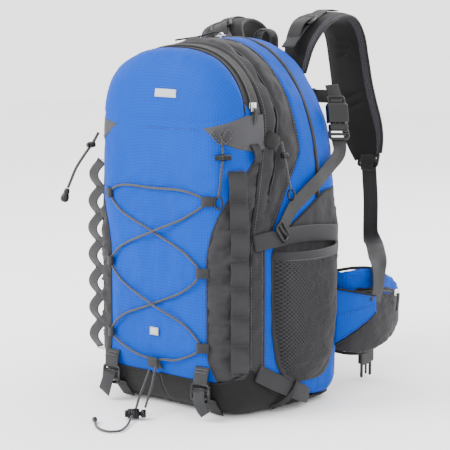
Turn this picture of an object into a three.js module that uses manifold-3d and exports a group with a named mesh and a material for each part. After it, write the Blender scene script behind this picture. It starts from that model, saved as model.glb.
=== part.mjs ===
// A 40 litre hiking daypack: a lofted fabric body cut into its real compartments, with its zips, pockets,
// straps, buckles, pads, hip belt and elastic lacing. Millimetres, +Z up. The front panel faces -Y, the
// wearer's back is at +Y, and the origin is the middle of the flat underside.
import * as THREE from "three";
import { mergeVertices } from "three/addons/utils/BufferGeometryUtils.js";
import Module from "manifold-3d";

const wasm = await Module();
wasm.setup();

// Driving dimensions of the body.
const GAP = 0.4;            // left between pieces that touch
const WALL = 3;             // padded fabric wall
const ZIP_Y = 50;           // plane of the main zip
const FOLD_Z = 290;         // height of the main zip's lower ends, where the front panel folds
const FOLD_SLOPE = Math.tan(THREE.MathUtils.degToRad(24));
const LID_Z = 391;          // seam under the front pocket's opening panel
const LID_Y = -70;          // edge of that panel against its zip
const POCKET_ZIP_REAR = -44; // rear edge of that zip's band
const BACK_Y = 110;         // outside of the back panel
const BASE_TOP = 15;        // top of the reinforced base under the main compartment
const WEB = 24;             // width of the straps' webbing
const WEB_THICK = 1.6;
const CORD_R = 1.6;         // elastic cord
const FAR = 200;            // cutting slabs reach this far in y, beyond the body
const CEILING = 540;        // and from below it
const UNDER = -30;          // to above it

// The body from front to back: y, half width, half width at the shoulder, underside, top, shoulder height,
// roundness of the arch, radius of the lower corners.
const SECTIONS = [
  [-114, 68, 66, 90, 425, 380, 2.4, 30], [-111, 92, 86, 58, 450, 385, 2.5, 30],
  [-104, 107, 100, 34, 468, 388, 2.5, 32], [-92, 118, 110, 14, 481, 390, 2.5, 34],
  [-76, 126, 118, 3, 488, 390, 2.4, 34], [-55, 132, 122, 0, 492, 375, 2.3, 34],
  [-20, 139, 129, 0, 496, 345, 2.2, 34], [20, 145, 138, 0, 499, 315, 2.1, 34],
  [50, 149, 144, 0, 500, 294, 2.1, 34], [80, 149, 143, 0, 499, 285, 2.1, 34],
  [98, 143, 137, 2, 492, 280, 2.1, 36], [106, 134, 128, 8, 484, 275, 2.1, 38],
  [BACK_Y, 122, 116, 18, 472, 270, 2.1, 40],
];
// Seams between the compartments in side view: y at each height.
const FRONT_SEAM = [[-75, UNDER], [-75, 230], [-40, LID_Z], [-40, CEILING]];
const MAIN_SEAM = [[-50, UNDER], [-50, 230], [20, 350], [20, CEILING]];

const material = (color, roughness, metalness = 0) =>
  new THREE.MeshStandardMaterial({ color, roughness, metalness });
const BLUE = () => material(0x1f78e0, 0.6);
const GREY = () => material(0x6b6864, 0.8);
const WEBBING = () => material(0x5c5b5f, 0.75);
const BLACK = () => material(0x1d1d20, 0.85);
const PLASTIC = () => material(0x161618, 0.4);
const STEEL = () => material(0xc4c6c8, 0.3, 0.9);
const FOAM = () => material(0x26272a, 0.9);
const BOARD = () => material(0xe6e6e2, 0.5);
const MESH = () => material(0x8a8886, 0.85);

const V = (x, y, z) => new THREE.Vector3(x, y, z);
const pack = new THREE.Group();

function add(name, shape, makeMaterial, parent = pack) {
  const geometry = shape.isBufferGeometry ? shape : geometryOf(shape);
  geometry.computeVertexNormals();
  const mesh = new THREE.Mesh(geometry, makeMaterial());
  mesh.name = name;
  parent.add(mesh);
  return mesh;
}

// ---- solids and booleans ----
function solid(geometry) {
  const merged = mergeVertices(bareCopy(geometry), 1e-4);
  const mesh = new wasm.Mesh({
    numProp: 3,
    vertProperties: new Float32Array(merged.attributes.position.array),
    triVerts: new Uint32Array(merged.index.array),
  });
  return new wasm.Manifold(mesh);
}

function geometryOf(manifold) {
  const { vertProperties, triVerts } = manifold.getMesh();
  const geometry = new THREE.BufferGeometry();
  geometry.setAttribute("position", new THREE.BufferAttribute(vertProperties, 3));
  geometry.setIndex(new THREE.BufferAttribute(triVerts, 1));
  return geometry;
}

// A closed skin through rings of the same number of points, capped at both ends and facing out.
function skin(rings) {
  const n = rings[0].length;
  const points = rings.flat();
  const faces = [];
  for (let r = 0; r + 1 < rings.length; r++) {
    for (let i = 0; i < n; i++) {
      const [a, b] = [r * n + i, r * n + ((i + 1) % n)];
      faces.push([a, b, b + n], [a, b + n, a + n]);
    }
  }
  const last = (rings.length - 1) * n;
  for (let i = 1; i + 1 < n; i++) faces.push([0, i + 1, i], [last, last + i, last + i + 1]);
  const volume = faces.reduce((sum, [a, b, c]) =>
    sum + points[a].dot(points[b].clone().cross(points[c])), 0);
  const turned = volume < 0 ? faces.map(([a, b, c]) => [a, c, b]) : faces;
  const geometry = new THREE.BufferGeometry().setFromPoints(points);
  geometry.setIndex(turned.flat());
  return geometry;
}

// Everything inside a side-view outline of [y, z] points, right across the pack.
function sideSlab(outline, halfWidth = 400) {
  const shape = new THREE.Shape(outline.map(([y, z]) => new THREE.Vector2(y, z)));
  const geometry = new THREE.ExtrudeGeometry(shape, { depth: 2 * halfWidth, bevelEnabled: false });
  geometry.translate(0, 0, -halfWidth);
  geometry.applyMatrix4(new THREE.Matrix4().makeBasis(V(0, 1, 0), V(0, 0, 1), V(1, 0, 0)));
  return solid(geometry);
}

// A block with round corners: width along X, height along Z, thickness along Y, centred on the origin.
function plate(width, height, thickness, radius, bevel = 0) {
  const [w, h, r] = [width / 2 - bevel, height / 2 - bevel, radius];
  const shape = new THREE.Shape();
  shape.moveTo(-w + r, -h);
  shape.lineTo(w - r, -h).absarc(w - r, -h + r, r, -Math.PI / 2, 0);
  shape.lineTo(w, h - r).absarc(w - r, h - r, r, 0, Math.PI / 2);
  shape.lineTo(-w + r, h).absarc(-w + r, h - r, r, Math.PI / 2, Math.PI);
  shape.lineTo(-w, -h + r).absarc(-w + r, -h + r, r, Math.PI, Math.PI * 1.5);
  const geometry = new THREE.ExtrudeGeometry(shape, {
    depth: thickness - 2 * bevel, curveSegments: radius > 10 ? 4 : 2, steps: 1,
    bevelEnabled: bevel > 0, bevelSize: bevel, bevelThickness: bevel, bevelSegments: 1,
  });
  geometry.translate(0, 0, -thickness / 2 + bevel);
  geometry.rotateX(Math.PI / 2);
  return geometry;
}

// A flat strap along a smooth line. across gives the direction of its width at a point of the line.
function ribbon(points, across, width, thickness, steps) {
  const curve = new THREE.CatmullRomCurve3(points, false, "centripetal");
  const rings = [];
  for (let i = 0; i <= steps; i++) {
    const at = curve.getPointAt(i / steps);
    const along = curve.getTangentAt(i / steps);
    const wide = across(i / steps, at, along).clone();
    wide.addScaledVector(along, -wide.dot(along)).normalize();
    const up = along.clone().cross(wide);
    const corner = (u, v) =>
      at.clone().addScaledVector(wide, u * width / 2).addScaledVector(up, v * thickness / 2);
    rings.push([corner(-1, -1), corner(1, -1), corner(1, 1), corner(-1, 1)]);
  }
  return skin(rings);
}

// Section of a padded strap, in shares of its half width and half thickness.
const PAD_OUTLINE = [[-1, -0.4], [-0.8, -1], [0.8, -1], [1, -0.4], [1, 0.4], [0.8, 1], [-0.8, 1], [-1, 0.4]];

// A padded strap with a rounded section: width and thickness are functions of the share of its length.
function paddedStrap(points, across, width, thickness, steps) {
  const curve = new THREE.CatmullRomCurve3(points, false, "centripetal");
  const rings = [];
  for (let i = 0; i <= steps; i++) {
    const share = i / steps;
    const at = curve.getPointAt(share);
    const along = curve.getTangentAt(share);
    const wide = across.clone().addScaledVector(along, -across.dot(along)).normalize();
    const up = along.clone().cross(wide);
    const [w, t] = [width(share) / 2, thickness(share) / 2];
    const corner = ([u, v]) => at.clone().addScaledVector(wide, u * w).addScaledVector(up, v * t);
    rings.push(PAD_OUTLINE.map(corner));
  }
  return skin(rings);
}

function tube(points, radius, steps) {
  const curve = new THREE.CatmullRomCurve3(points, false, "centripetal");
  const circle = Array.from({ length: 8 }, (_, i) =>
    new THREE.Vector2(radius * Math.cos(i * Math.PI / 4), radius * Math.sin(i * Math.PI / 4)));
  const shape = new THREE.Shape(circle);
  return new THREE.ExtrudeGeometry(shape, { steps, extrudePath: curve, bevelEnabled: false });
}

function mirrored(geometry) {
  const copy = mergeVertices(bareCopy(geometry), 1e-4);
  copy.applyMatrix4(new THREE.Matrix4().makeScale(-1, 1, 1));
  const index = copy.index.array;
  for (let i = 0; i < index.length; i += 3) [index[i], index[i + 1]] = [index[i + 1], index[i]];
  return copy;
}

function bareCopy(geometry) {
  const bare = geometry.clone();
  bare.deleteAttribute("normal");
  bare.deleteAttribute("uv");
  return bare;
}

// The same piece on both sides. make returns the right-hand one.
function pair(name, make, makeMaterial) {
  const right = make();
  const geometry = right.isBufferGeometry ? right : geometryOf(right);
  add(`${name}_right`, geometry, makeMaterial);
  add(`${name}_left`, mirrored(geometry), makeMaterial);
}

// ---- the body's outside ----
function section(y) {
  const last = SECTIONS.length - 1;
  let k = 0;
  while (k < last - 1 && y > SECTIONS[k + 1][0]) k++;
  const [a, b] = [SECTIONS[k], SECTIONS[k + 1]];
  const share = THREE.MathUtils.clamp((y - a[0]) / (b[0] - a[0]), 0, 1);
  return a.map((value, i) => value + (b[i] - value) * share);
}

function sideX(y, z) {
  const [, wide, shoulder, , top, bend, power] = section(y);
  if (z < 250) return wide;
  if (z < bend) return wide + (shoulder - wide) * (z - 250) / (bend - 250);
  return shoulder * Math.pow(Math.max(0, 1 - Math.pow((z - bend) / (top - bend), power)), 1 / power);
}

function frontY(x, z) {
  let [outside, inside] = [SECTIONS[0][0] - 1, 0];
  for (let i = 0; i < 30; i++) {
    const y = (outside + inside) / 2;
    const [, , , low, top] = section(y);
    if (z > low && z < top && Math.abs(x) < sideX(y, z)) inside = y;
    else outside = y;
  }
  return inside;
}

function bodyRing([y, wide, shoulder, low, top, bend, power, corner], grow, shift) {
  const half = [];
  for (let i = 0; i <= 4; i++) {
    const turn = -Math.PI / 2 + i * Math.PI / 8;
    const [across, up] = [corner * Math.cos(turn), corner * Math.sin(turn)];
    half.push([wide + grow - corner + across, low - grow + corner + up]);
  }
  half.push([wide + grow, 250]);
  const arch = 9;
  for (let i = 0; i <= arch; i++) {
    const turn = i * Math.PI / 2 / arch;
    half.push([
      (shoulder + grow) * Math.pow(Math.cos(turn), 2 / power),
      bend + (top + grow - bend) * Math.pow(Math.sin(turn), 2 / power),
    ]);
  }
  half[half.length - 1][0] = 0;
  const other = half.slice(0, -1).reverse().map(([x, z]) => [-x, z]);
  return half.concat(other).map(([x, z]) => V(x, y + shift, z));
}

function body(grow) {
  const last = SECTIONS.length - 1;
  return solid(skin(SECTIONS.map((s, i) => bodyRing(s, grow, i === 0 ? -grow : i === last ? grow : 0))));
}

const outside = body(0);
const inside = body(-WALL);
const besideBody = body(GAP);

// Side-view outlines of the regions that the body is cut into.
const foldTop = (y) => FOLD_Z + (ZIP_Y - y) * FOLD_SLOPE;
const moved = (seam, dy) => seam.map(([y, z]) => [y + dy, z]);
const before = (seam, dy) => sideSlab([[-200, -30], ...moved(seam, dy), [-200, 540]]);
const behind = (seam, dy) => sideSlab([...moved(seam, dy), [FAR, CEILING], [FAR, UNDER]].reverse());
const aboveBase = sideSlab([
  [-83, 66 + GAP], [-63, BASE_TOP + GAP], [FAR, BASE_TOP + GAP], [FAR, CEILING], [-FAR, CEILING],
  [-FAR, 66 + GAP],
]);
const fixedPart = sideSlab([
  [-FAR, UNDER], [FAR, UNDER], [FAR, CEILING], [ZIP_Y + GAP, CEILING], [ZIP_Y + GAP, FOLD_Z - GAP],
  [-FAR, FOLD_Z - GAP],
]);
const openingPart = sideSlab([
  [ZIP_Y - GAP, foldTop(ZIP_Y) + 2 * GAP], [ZIP_Y - GAP, CEILING], [-FAR, CEILING],
  [-FAR, foldTop(-FAR) + 2 * GAP],
]);
const foldPart = sideSlab([
  [ZIP_Y - 4, FOLD_Z], [ZIP_Y - 4, foldTop(ZIP_Y - 4)], [-FAR, foldTop(-FAR)], [-FAR, FOLD_Z],
]);
const lidPart = (gap) => sideSlab([
  [LID_Y - gap, LID_Z + gap], [LID_Y - gap, CEILING], [-FAR, CEILING], [-FAR, LID_Z + gap],
]);
const mainSide = behind(MAIN_SEAM, GAP);
const middleSide = before(MAIN_SEAM, 0).intersect(behind(FRONT_SEAM, GAP));
const frontSide = before(FRONT_SEAM, 0);
const mainRoom = inside.intersect(behind(MAIN_SEAM, WALL + GAP)).intersect(sideSlab([
  [-200, BASE_TOP + WALL], [200, BASE_TOP + WALL], [200, 540], [-200, 540],
]));
const pocketRoom = inside.intersect(before(FRONT_SEAM, -WALL)).intersect(sideSlab([
  [-200, LID_Z - 14], [200, LID_Z - 14], [200, 540], [-200, 540],
]));

function bodyPieces() {
  const mainOutside = outside.intersect(mainSide);
  const middle = outside.intersect(middleSide);
  const front = outside.intersect(frontSide);
  const fixed = fixedPart.intersect(aboveBase);
  add("base_panel", outside.subtract(sideSlab([
    [-83, 66], [-63, BASE_TOP], [200, BASE_TOP], [200, 540], [-200, 540], [-200, 66],
  ])), BLACK);
  add("main_shell", mainOutside.intersect(fixed).subtract(mainRoom), BLUE);
  add("main_flap", mainOutside.intersect(openingPart).subtract(mainRoom), BLUE);
  add("middle_pocket_lower", middle.intersect(fixed), GREY);
  add("middle_pocket_upper", middle.intersect(openingPart), GREY);
  add("front_pocket_lower", front.intersect(fixed), BLUE);
  add("front_pocket_upper", front.intersect(openingPart).subtract(pocketRoom).subtract(lidPart(0)), GREY);
  add("pocket_lid", outside.subtract(inside).intersect(lidPart(GAP)), BLUE);
  add("fold_gusset", outside.intersect(foldPart).subtract(mainRoom), GREY);
}

// ---- zips: thin tapes that lie on the body ----
function tapeBand(thickness, outline) {
  return body(GAP + thickness).subtract(besideBody).intersect(sideSlab(outline));
}

function zips() {
  add("main_zip_rear", tapeBand(1.4, [
    [ZIP_Y + GAP, FOLD_Z], [ZIP_Y + 5, FOLD_Z], [ZIP_Y + 5, CEILING], [ZIP_Y + GAP, CEILING],
  ]), BLACK);
  add("main_zip_front", tapeBand(1.4, [
    [ZIP_Y - 5, foldTop(ZIP_Y - 5) + 1], [ZIP_Y - GAP, foldTop(ZIP_Y - 5) + 1], [ZIP_Y - GAP, CEILING],
    [ZIP_Y - 5, CEILING],
  ]), BLACK);
  add("pocket_zip", tapeBand(1.2, [
    [LID_Y + 1, LID_Z + 2], [POCKET_ZIP_REAR, LID_Z + 2], [POCKET_ZIP_REAR, CEILING], [LID_Y + 1, CEILING],
  ]), BLACK);
}

// A slider stands on a zip: its body over the teeth, with a bridge that carries the pull.
function slider(name, at, turn) {
  const base = solid(plate(9, 4, 13, 1.6)).translate(0, 0, 2);
  const bridge = solid(plate(3, 3.6, 8, 1)).translate(0, 0, 5.4);
  const mesh = add(name, base.add(bridge), STEEL);
  mesh.position.copy(at);
  mesh.rotation.set(...turn);
}

function sliders() {
  const mainAt = V(-25, ZIP_Y, 500 + 2.4);
  slider("main_slider", mainAt, [0, -0.06, Math.PI / 2]);
  add("main_pull", ribbon([V(-30, ZIP_Y - 2, 511.4), V(-46, 26, 504), V(-66, 0, 499)],
    () => V(0.7, -0.7, 0), 9, 2, 4), WEBBING);
  const x = sideX(-58, 414) + GAP + 2.6;
  slider("pocket_slider", V(x, -58, 414), [Math.PI / 2, Math.PI / 2, 0]);
  add("pocket_pull", ribbon([V(x + 9.4, -58, 411), V(x + 7, -58, 396), V(x + 4.4, -58, 380)],
    () => V(0, 1, 0), 8, 2, 4), WEBBING);
}

// ---- back panel and frame ----
function backPanel() {
  pair("back_pad", () => plate(62, 292, 14, 20, 3).translate(47, BACK_Y + GAP + 7, 294), FOAM);
  add("lumbar_pad", plate(180, 96, 17, 26, 4).translate(0, BACK_Y + GAP + 8.5, 94), FOAM);
  add("frame_sheet", plate(186, 385, 2, 60).translate(0, BACK_Y - WALL - 3, 220), BOARD);
}

// ---- bottle pockets ----
const POCKET_Y = 24;        // middle of a bottle pocket, front to back
const POCKET_TOP = 222;
// Height, half length, bulge.
const POCKET_SHAPE = [
  [40, 30, 6], [52, 44, 15], [72, 54, 24], [110, 60, 30], [165, 62, 31], [POCKET_TOP, 62, 28],
];

function pocketBag(grow, low, high) {
  const inner = 118;
  const rings = [low, ...POCKET_SHAPE.map(([z]) => z).filter((z) => z > low && z < high), high].map((z) => {
    let k = 0;
    while (k < POCKET_SHAPE.length - 2 && z > POCKET_SHAPE[k + 1][0]) k++;
    const [a, b] = [POCKET_SHAPE[k], POCKET_SHAPE[k + 1]];
    const share = (z - a[0]) / (b[0] - a[0]);
    const [length, bulge] = [a[1] + (b[1] - a[1]) * share + grow, a[2] + (b[2] - a[2]) * share + grow];
    const reach = 149 + bulge - inner;
    return Array.from({ length: 13 }, (_, i) => {
      const turn = -Math.PI / 2 + i * Math.PI / 12;
      const bend = Math.pow(Math.max(0, Math.cos(turn)), 0.62);
      return V(inner + reach * bend, POCKET_Y + length * Math.sin(turn), z);
    });
  });
  return solid(skin(rings));
}

function bottlePockets() {
  pair("bottle_pocket", () => pocketBag(0, 40, POCKET_TOP).add(pocketBag(1.6, POCKET_TOP - 12, POCKET_TOP))
    .subtract(pocketBag(-2.4, 56, POCKET_TOP + 8)).subtract(besideBody), MESH);
}

// ---- webbing and buckles on the sides ----
const onSide = (y, z, off) => V(sideX(y, z) + off, y, z);
const inSide = (_, at, along) => along.clone().cross(V(1, 0, 0));
const BUCKLE_TOP = V(136, 107, 412);
const BUCKLE_END = V(151, 96, 352);
const BUCKLE_WAY = BUCKLE_END.clone().sub(BUCKLE_TOP).normalize();
const BUCKLE_WIDE = V(0.5, 0.86, 0);

function alongBuckle(from, to, width, thickness) {
  const point = (mm) => BUCKLE_TOP.clone().addScaledVector(BUCKLE_WAY, mm);
  return solid(ribbon([point(from), point(to)], () => BUCKLE_WIDE, width, thickness, 1));
}

function sideStraps() {
  pair("compression_strap", () => ribbon([V(150.5, 92, 345), onSide(62, 322, 5), onSide(46, 312, 4.6),
    onSide(20, 295, 4), onSide(-24, 270, 3.6)], inSide, WEB - 2, WEB_THICK, 12), WEBBING);
  pair("side_buckle_socket", () => alongBuckle(0, 28, 30, 11)
    .subtract(alongBuckle(6, 30, 24, 6)).add(alongBuckle(-6, 2, 16, 4)), PLASTIC);
  pair("side_buckle_plug", () => alongBuckle(29, 50, 28, 10).add(alongBuckle(9, 31, 20, 4)), PLASTIC);
}

// ---- front: webbing ladders, cord loops, base straps ----
const CORNER_Y = -86;       // where the webbing ladder runs down the front corner
const CORNER_OUT = V(0.72, -0.69, 0);

function ladder() {
  const points = [];
  const loops = 7;
  for (let i = 0; i <= loops * 4; i++) {
    const z = 330 - i * (330 - 64) / (loops * 4);
    const off = 3.2 + 8 * Math.pow(Math.sin(i * Math.PI / 4), 2);
    points.push(V(sideX(CORNER_Y, z), CORNER_Y, z).addScaledVector(CORNER_OUT, off));
  }
  return ribbon(points, () => V(0.69, 0.72, 0), WEB, WEB_THICK, loops * 6);
}

const LOOP_ROWS = [293, 198, 98];
const LOOP_X = 84;          // where the cord turns in the side loops
const LOOP_SEAM_X = 97;
const onFront = (x, z, off) => V(x, frontY(x, z) - off, z);

function cordLoops() {
  const strip = solid(ribbon([306, 250, 198, 140, 84].map((z) => onFront(LOOP_SEAM_X, z, 2.6)),
    () => V(0.8, 0.6, 0), 5, 2, 10));
  return LOOP_ROWS.reduce((all, z) => all.add(solid(ribbon(
    [onFront(LOOP_SEAM_X, z, 2.6), onFront(LOOP_X + 3, z, 4.2)], () => V(0, 0, 1), 12, 3, 1))), strip);
}

function frontTrim() {
  pair("webbing_ladder", ladder, WEBBING);
  pair("cord_loops", cordLoops, WEBBING);
  pair("base_strap", () => ribbon([onFront(82, 84, 3), onFront(82, 66, 4), onFront(82, 52, 6)],
    () => V(1, 0, 0), WEB, 4, 4), WEBBING);
  pair("ladder_lock", () => {
    const frame = solid(plate(30, 22, 6, 3)).subtract(solid(plate(24, 5, 10, 1)).translate(0, 0, 5))
      .subtract(solid(plate(24, 5, 10, 1)).translate(0, 0, -5));
    return frame.translate(82, frontY(82, 60) - 8.5, 38);
  }, PLASTIC);
}

// ---- elastic lacing: one cord that crosses the front panel ----
function lacing() {
  const off = [5.4, 10.4];
  const route = [
    [-7, 70, 0], [-40, 76, 0], [-LOOP_X + 3, 98, 0], [-62, 122, 0], [0, 148, 0], [62, 176, 0],
    [LOOP_X - 3, 198, 0], [62, 219, 0], [0, 246, 0], [-62, 272, 0], [-LOOP_X + 3, 293, 0], [-62, 304, 0],
    [0, 305, 0], [62, 304, 0], [LOOP_X - 3, 293, 0], [62, 272, 0], [0, 246, 1], [-62, 219, 0],
    [-LOOP_X + 3, 198, 0], [-62, 176, 0], [0, 148, 1], [62, 122, 0], [LOOP_X - 3, 98, 0], [40, 76, 0],
    [7, 70, 0],
  ];
  const crossing = route.map(([x, z, over]) => onFront(x, z, off[over]));
  add("bungee_lacing", tube([...crossing, ...RETURN.map(([x, y, z]) => V(x, y, z))], CORD_R, 80), BLACK);
}

// ---- free cords and what is on them ----
const LOCK = V(10, -172, 8);
const LOCK_AXIS = V(0.77, 0.64, 0);
const TAIL = [[-5, -124, 56], [-6, -132, 40], [-4, -146, 22], [2, -158, 12], [8, -168, 9], [14, -180, 6],
  [24, -196, 2.6], [34, -214, 2], [38, -228, 2], [30, -238, 2], [14, -238, 2], [-2, -230, 2], [-12, -221, 3]];
const RETURN = [[5, -124, 56], [7, -132, 38], [10, -144, 22], [15, -154, 14]];
const TOOL_LEFT = [[-121, -100, 372], [-127, -105, 358], [-137, -111, 342], [-148, -118, 322],
  [-154, -123, 304], [-157, -126, 294]];
const TOOL_RIGHT = [[106, -102, 368], [111, -107, 354], [110, -108.5, 334], [108, -109.5, 312],
  [107, -110.5, 300]];
const POLE = [[142, -24, 368], [145.5, -22, 350], [148, -17, 322], [149, -13, 304]];
const route = (points) => points.map(([x, y, z]) => V(x, y, z));

function ring(at, outer, inner, thickness) {
  const hoop = new THREE.Shape();
  hoop.absellipse(0, 0, outer, outer * 1.35, 0, Math.PI * 2);
  const hole = new THREE.Path();
  hole.absellipse(0, 0, inner, inner * 1.35, 0, Math.PI * 2, true);
  hoop.holes.push(hole);
  const settings = { depth: thickness, bevelEnabled: false, curveSegments: 7 };
  const geometry = new THREE.ExtrudeGeometry(hoop, settings);
  geometry.translate(0, 0, -thickness / 2);
  geometry.rotateX(Math.PI / 2);
  return geometry.translate(at.x, at.y, at.z);
}

function bead(at, toward, length, radius) {
  const profile = [[0, 0], [0.5, 0.05], [0.75, 0.35], [1, 0.7], [0.7, 0.95], [0, 1]];
  const outline = profile.map(([r, h]) => new THREE.Vector2(r * radius, h * length));
  const shape = new THREE.LatheGeometry(outline, 10);
  const turn = new THREE.Quaternion().setFromUnitVectors(V(0, 1, 0), toward.clone().normalize());
  return shape.applyQuaternion(turn).translate(at.x, at.y, at.z);
}

function cylinderAlong(axis, radius, length, from) {
  const shape = new THREE.CylinderGeometry(radius, radius, length, 12);
  shape.translate(0, from + length / 2, 0);
  const turn = new THREE.Quaternion().setFromUnitVectors(V(0, 1, 0), axis.clone().normalize());
  return shape.applyQuaternion(turn);
}

function cords() {
  add("bungee_tail", tube(route(TAIL), CORD_R, 44), BLACK);
  add("bungee_end", bead(V(-12.8, -220.4, 3.6), V(-0.75, 0.62, 0.02), 13, 3.6), PLASTIC);
  const hole = solid(tube(route(TAIL), CORD_R + GAP, 44));
  const lock = solid(cylinderAlong(LOCK_AXIS, 7, 15, -7.5)).add(solid(cylinderAlong(LOCK_AXIS, 5, 4, -11)))
    .translate(LOCK.x, LOCK.y, LOCK.z);
  const bore = solid(cylinderAlong(LOCK_AXIS, 3 + GAP, 5, 4)).translate(LOCK.x, LOCK.y, LOCK.z);
  add("bungee_lock", lock.subtract(hole).subtract(bore), PLASTIC);
  const stem = solid(cylinderAlong(LOCK_AXIS, 3, 4, 7.9));
  add("bungee_button", solid(cylinderAlong(LOCK_AXIS, 5.4, 6, 10.5)).add(stem)
    .translate(LOCK.x, LOCK.y, LOCK.z), PLASTIC);
  add("tool_cord_left", tube(route(TOOL_LEFT), 2, 16), BLACK);
  add("tool_bead_left", bead(V(-157.2, -126.3, 293), V(-0.25, -0.18, -1), 20, 6), PLASTIC);
  add("tool_cord_right", solid(tube(route(TOOL_RIGHT), CORD_R, 16))
    .add(solid(ring(V(107, -111, 292), 7.5, 5, 2.6))), BLACK);
  add("pole_cord", solid(tube(route(POLE), CORD_R, 12))
    .add(solid(ring(V(149.5, -12, 297), 6.5, 4.2, 2.6))), BLACK);
}

// ---- harness ----
const STRAP_RIGHT = [[57, 118, 452], [55, 131, 492], [52, 160, 521], [50, 195, 533], [49, 228, 528],
  [49, 248, 505], [51, 256, 470], [58, 257, 430], [70, 256, 390], [84, 254, 352], [92, 252, 326]];
const STRAP_LEFT = [[-60, 118, 452], [-84, 130, 488], [-106, 150, 512], [-118, 185, 523], [-120, 220, 514],
  [-118, 245, 486], [-113, 255, 446], [-106, 257, 410], [-100, 255, 370], [-92, 252, 326]];

function lowerWebbing() {
  const points = [V(92, 252, 319), V(97, 252, 262), V(99, 251, 208), V(112, 240, 200), V(140, 205, 194),
    V(166, 172, 182), V(176, 158, 158), V(176, 150, 132)];
  const across = (share) => V(1, 0, 0).lerp(V(0, 1, 0.2), THREE.MathUtils.smoothstep(share, 0.35, 0.8));
  return ribbon(points, across, WEB + 4, 2.4, 22);
}

function harness() {
  const width = (share) => 70 - 26 * Math.pow(Math.max(0, share - 0.85) / 0.15, 2);
  const thickness = (share) => 12 - 5 * Math.max(0, share - 0.85) / 0.15;
  add("shoulder_pad_right", paddedStrap(route(STRAP_RIGHT), V(1, 0, 0), width, thickness, 22), FOAM);
  add("shoulder_pad_left", paddedStrap(route(STRAP_LEFT), V(1, 0.1, 0.15), width, thickness, 22), FOAM);
  pair("strap_webbing", lowerWebbing, WEBBING);
  add("load_lifter_right", ribbon([V(56, 106, 494), V(55, 128, 513), V(53, 160, 533), V(51, 190, 543)],
    () => V(1, 0, 0), WEB, 2, 8), WEBBING);
  add("load_lifter_left", ribbon([V(-62, 106, 494), V(-86, 126, 508), V(-107, 152, 524), V(-117, 182, 534)],
    () => V(1, 0.1, 0.15), WEB, 2, 8), WEBBING);
  add("haul_handle", ribbon([V(-15, 121, 476), V(-15, 121, 498), V(-9, 121, 511), V(9, 121, 511),
    V(15, 121, 498), V(15, 121, 476)], () => V(0, 1, 0), 18, 2.6, 14), BLACK);
  const chestZ = 412;
  const chestY = 268;
  const chest = (from, to, height, thick) =>
    solid(ribbon([V(from, chestY, chestZ), V(to, chestY, chestZ)], () => V(0, 0, 1), height, thick, 1));
  const housing = chest(-62, -38, 26, 9).subtract(chest(-58, -30, 20, 5));
  const tongue = chest(-56, -35, 16, 3.4);
  add("sternum_socket", chest(-128, -60, 20, 1.6).add(housing), PLASTIC);
  add("sternum_plug", chest(-37, -18, 24, 8).add(tongue).add(chest(-20, 70, 20, 1.6)), PLASTIC);
}

// ---- hip belt ----
// The hip pad's middle line: x, y, bottom, top, thickness.
const WING = [
  [119, 119, 58, 176, 12], [136, 126, 52, 182, 16], [150, 148, 50, 180, 24], [153, 188, 57, 172, 27],
  [149, 226, 63, 156, 24], [142, 250, 76, 138, 12],
];
const WING_OUTLINE = [
  [0.5, -0.35], [0.5, 0.1], [0.36, 0.5], [-0.36, 0.5], [-0.5, 0.1], [-0.5, -0.35], [-0.42, -0.5],
  [0.42, -0.5],
];

function hipWing() {
  const line = new THREE.CatmullRomCurve3(WING.map(([x, y]) => V(x, y, 0)), false, "centripetal");
  const low = new THREE.CatmullRomCurve3(WING.map(([, , z, , t]) => V(z, t, 0)));
  const high = new THREE.CatmullRomCurve3(WING.map(([, , , z]) => V(z, 0, 0)));
  const rings = [];
  const steps = 14;
  for (let i = 0; i <= steps; i++) {
    const at = line.getPoint(i / steps);
    const along = line.getTangent(i / steps);
    const out = V(along.y, -along.x, 0);
    const [bottom, thick] = [low.getPoint(i / steps).x, low.getPoint(i / steps).y];
    const top = high.getPoint(i / steps).x;
    const height = top - bottom;
    rings.push(WING_OUTLINE.map(([up, side]) => V(at.x, at.y, (top + bottom) / 2 + up * height)
      .addScaledVector(out, side * thick)));
  }
  return skin(rings);
}

function hipBelt() {
  pair("hip_wing", hipWing, GREY);
  const pull = () => solid(plate(3, 6, 26, 1)).translate(2.6, -8, 0);
  pair("hip_zip_slider", () => solid(plate(5, 9, 13, 1.5)).add(pull()).translate(171, 212, 136), STEEL);
  const webbing = () => ribbon([V(126, 245, 108), V(120, 240, 98), V(118.4, 230, 80), V(117.3, 218, 56)],
    (share) => V(0, 0.2, 1).lerp(V(0, 1, 0), THREE.MathUtils.smoothstep(share, 0.2, 0.6)), WEB, 2, 10);
  const buckle = (length, width) => solid(plate(7, length, width, 2)).translate(117, 216, 62 - length / 2);
  const tongue = solid(plate(3, 20, 26, 0.9)).translate(116.8, 216.2, 13);
  add("belt_plug_strap", solid(webbing()).add(buckle(40, 34)).add(tongue), BLACK);
  const socket = buckle(46, 38).subtract(solid(plate(4, 40, 30, 1)).translate(117, 216, 26));
  add("belt_socket_strap", mirrored(geometryOf(solid(webbing()).add(socket))), BLACK);
}

bodyPieces();
zips();
sliders();
backPanel();
bottlePockets();
sideStraps();
frontTrim();
lacing();
cords();
harness();
hipBelt();

export default pack;
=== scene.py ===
"""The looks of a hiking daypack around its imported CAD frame: panels, zips, webbing, net, pads and cords.

Lengths below are in millimetres, as in the CAD part, and become metres when a mesh is made.
"""
import math

import bpy
import numpy as np
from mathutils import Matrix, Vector, noise


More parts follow.
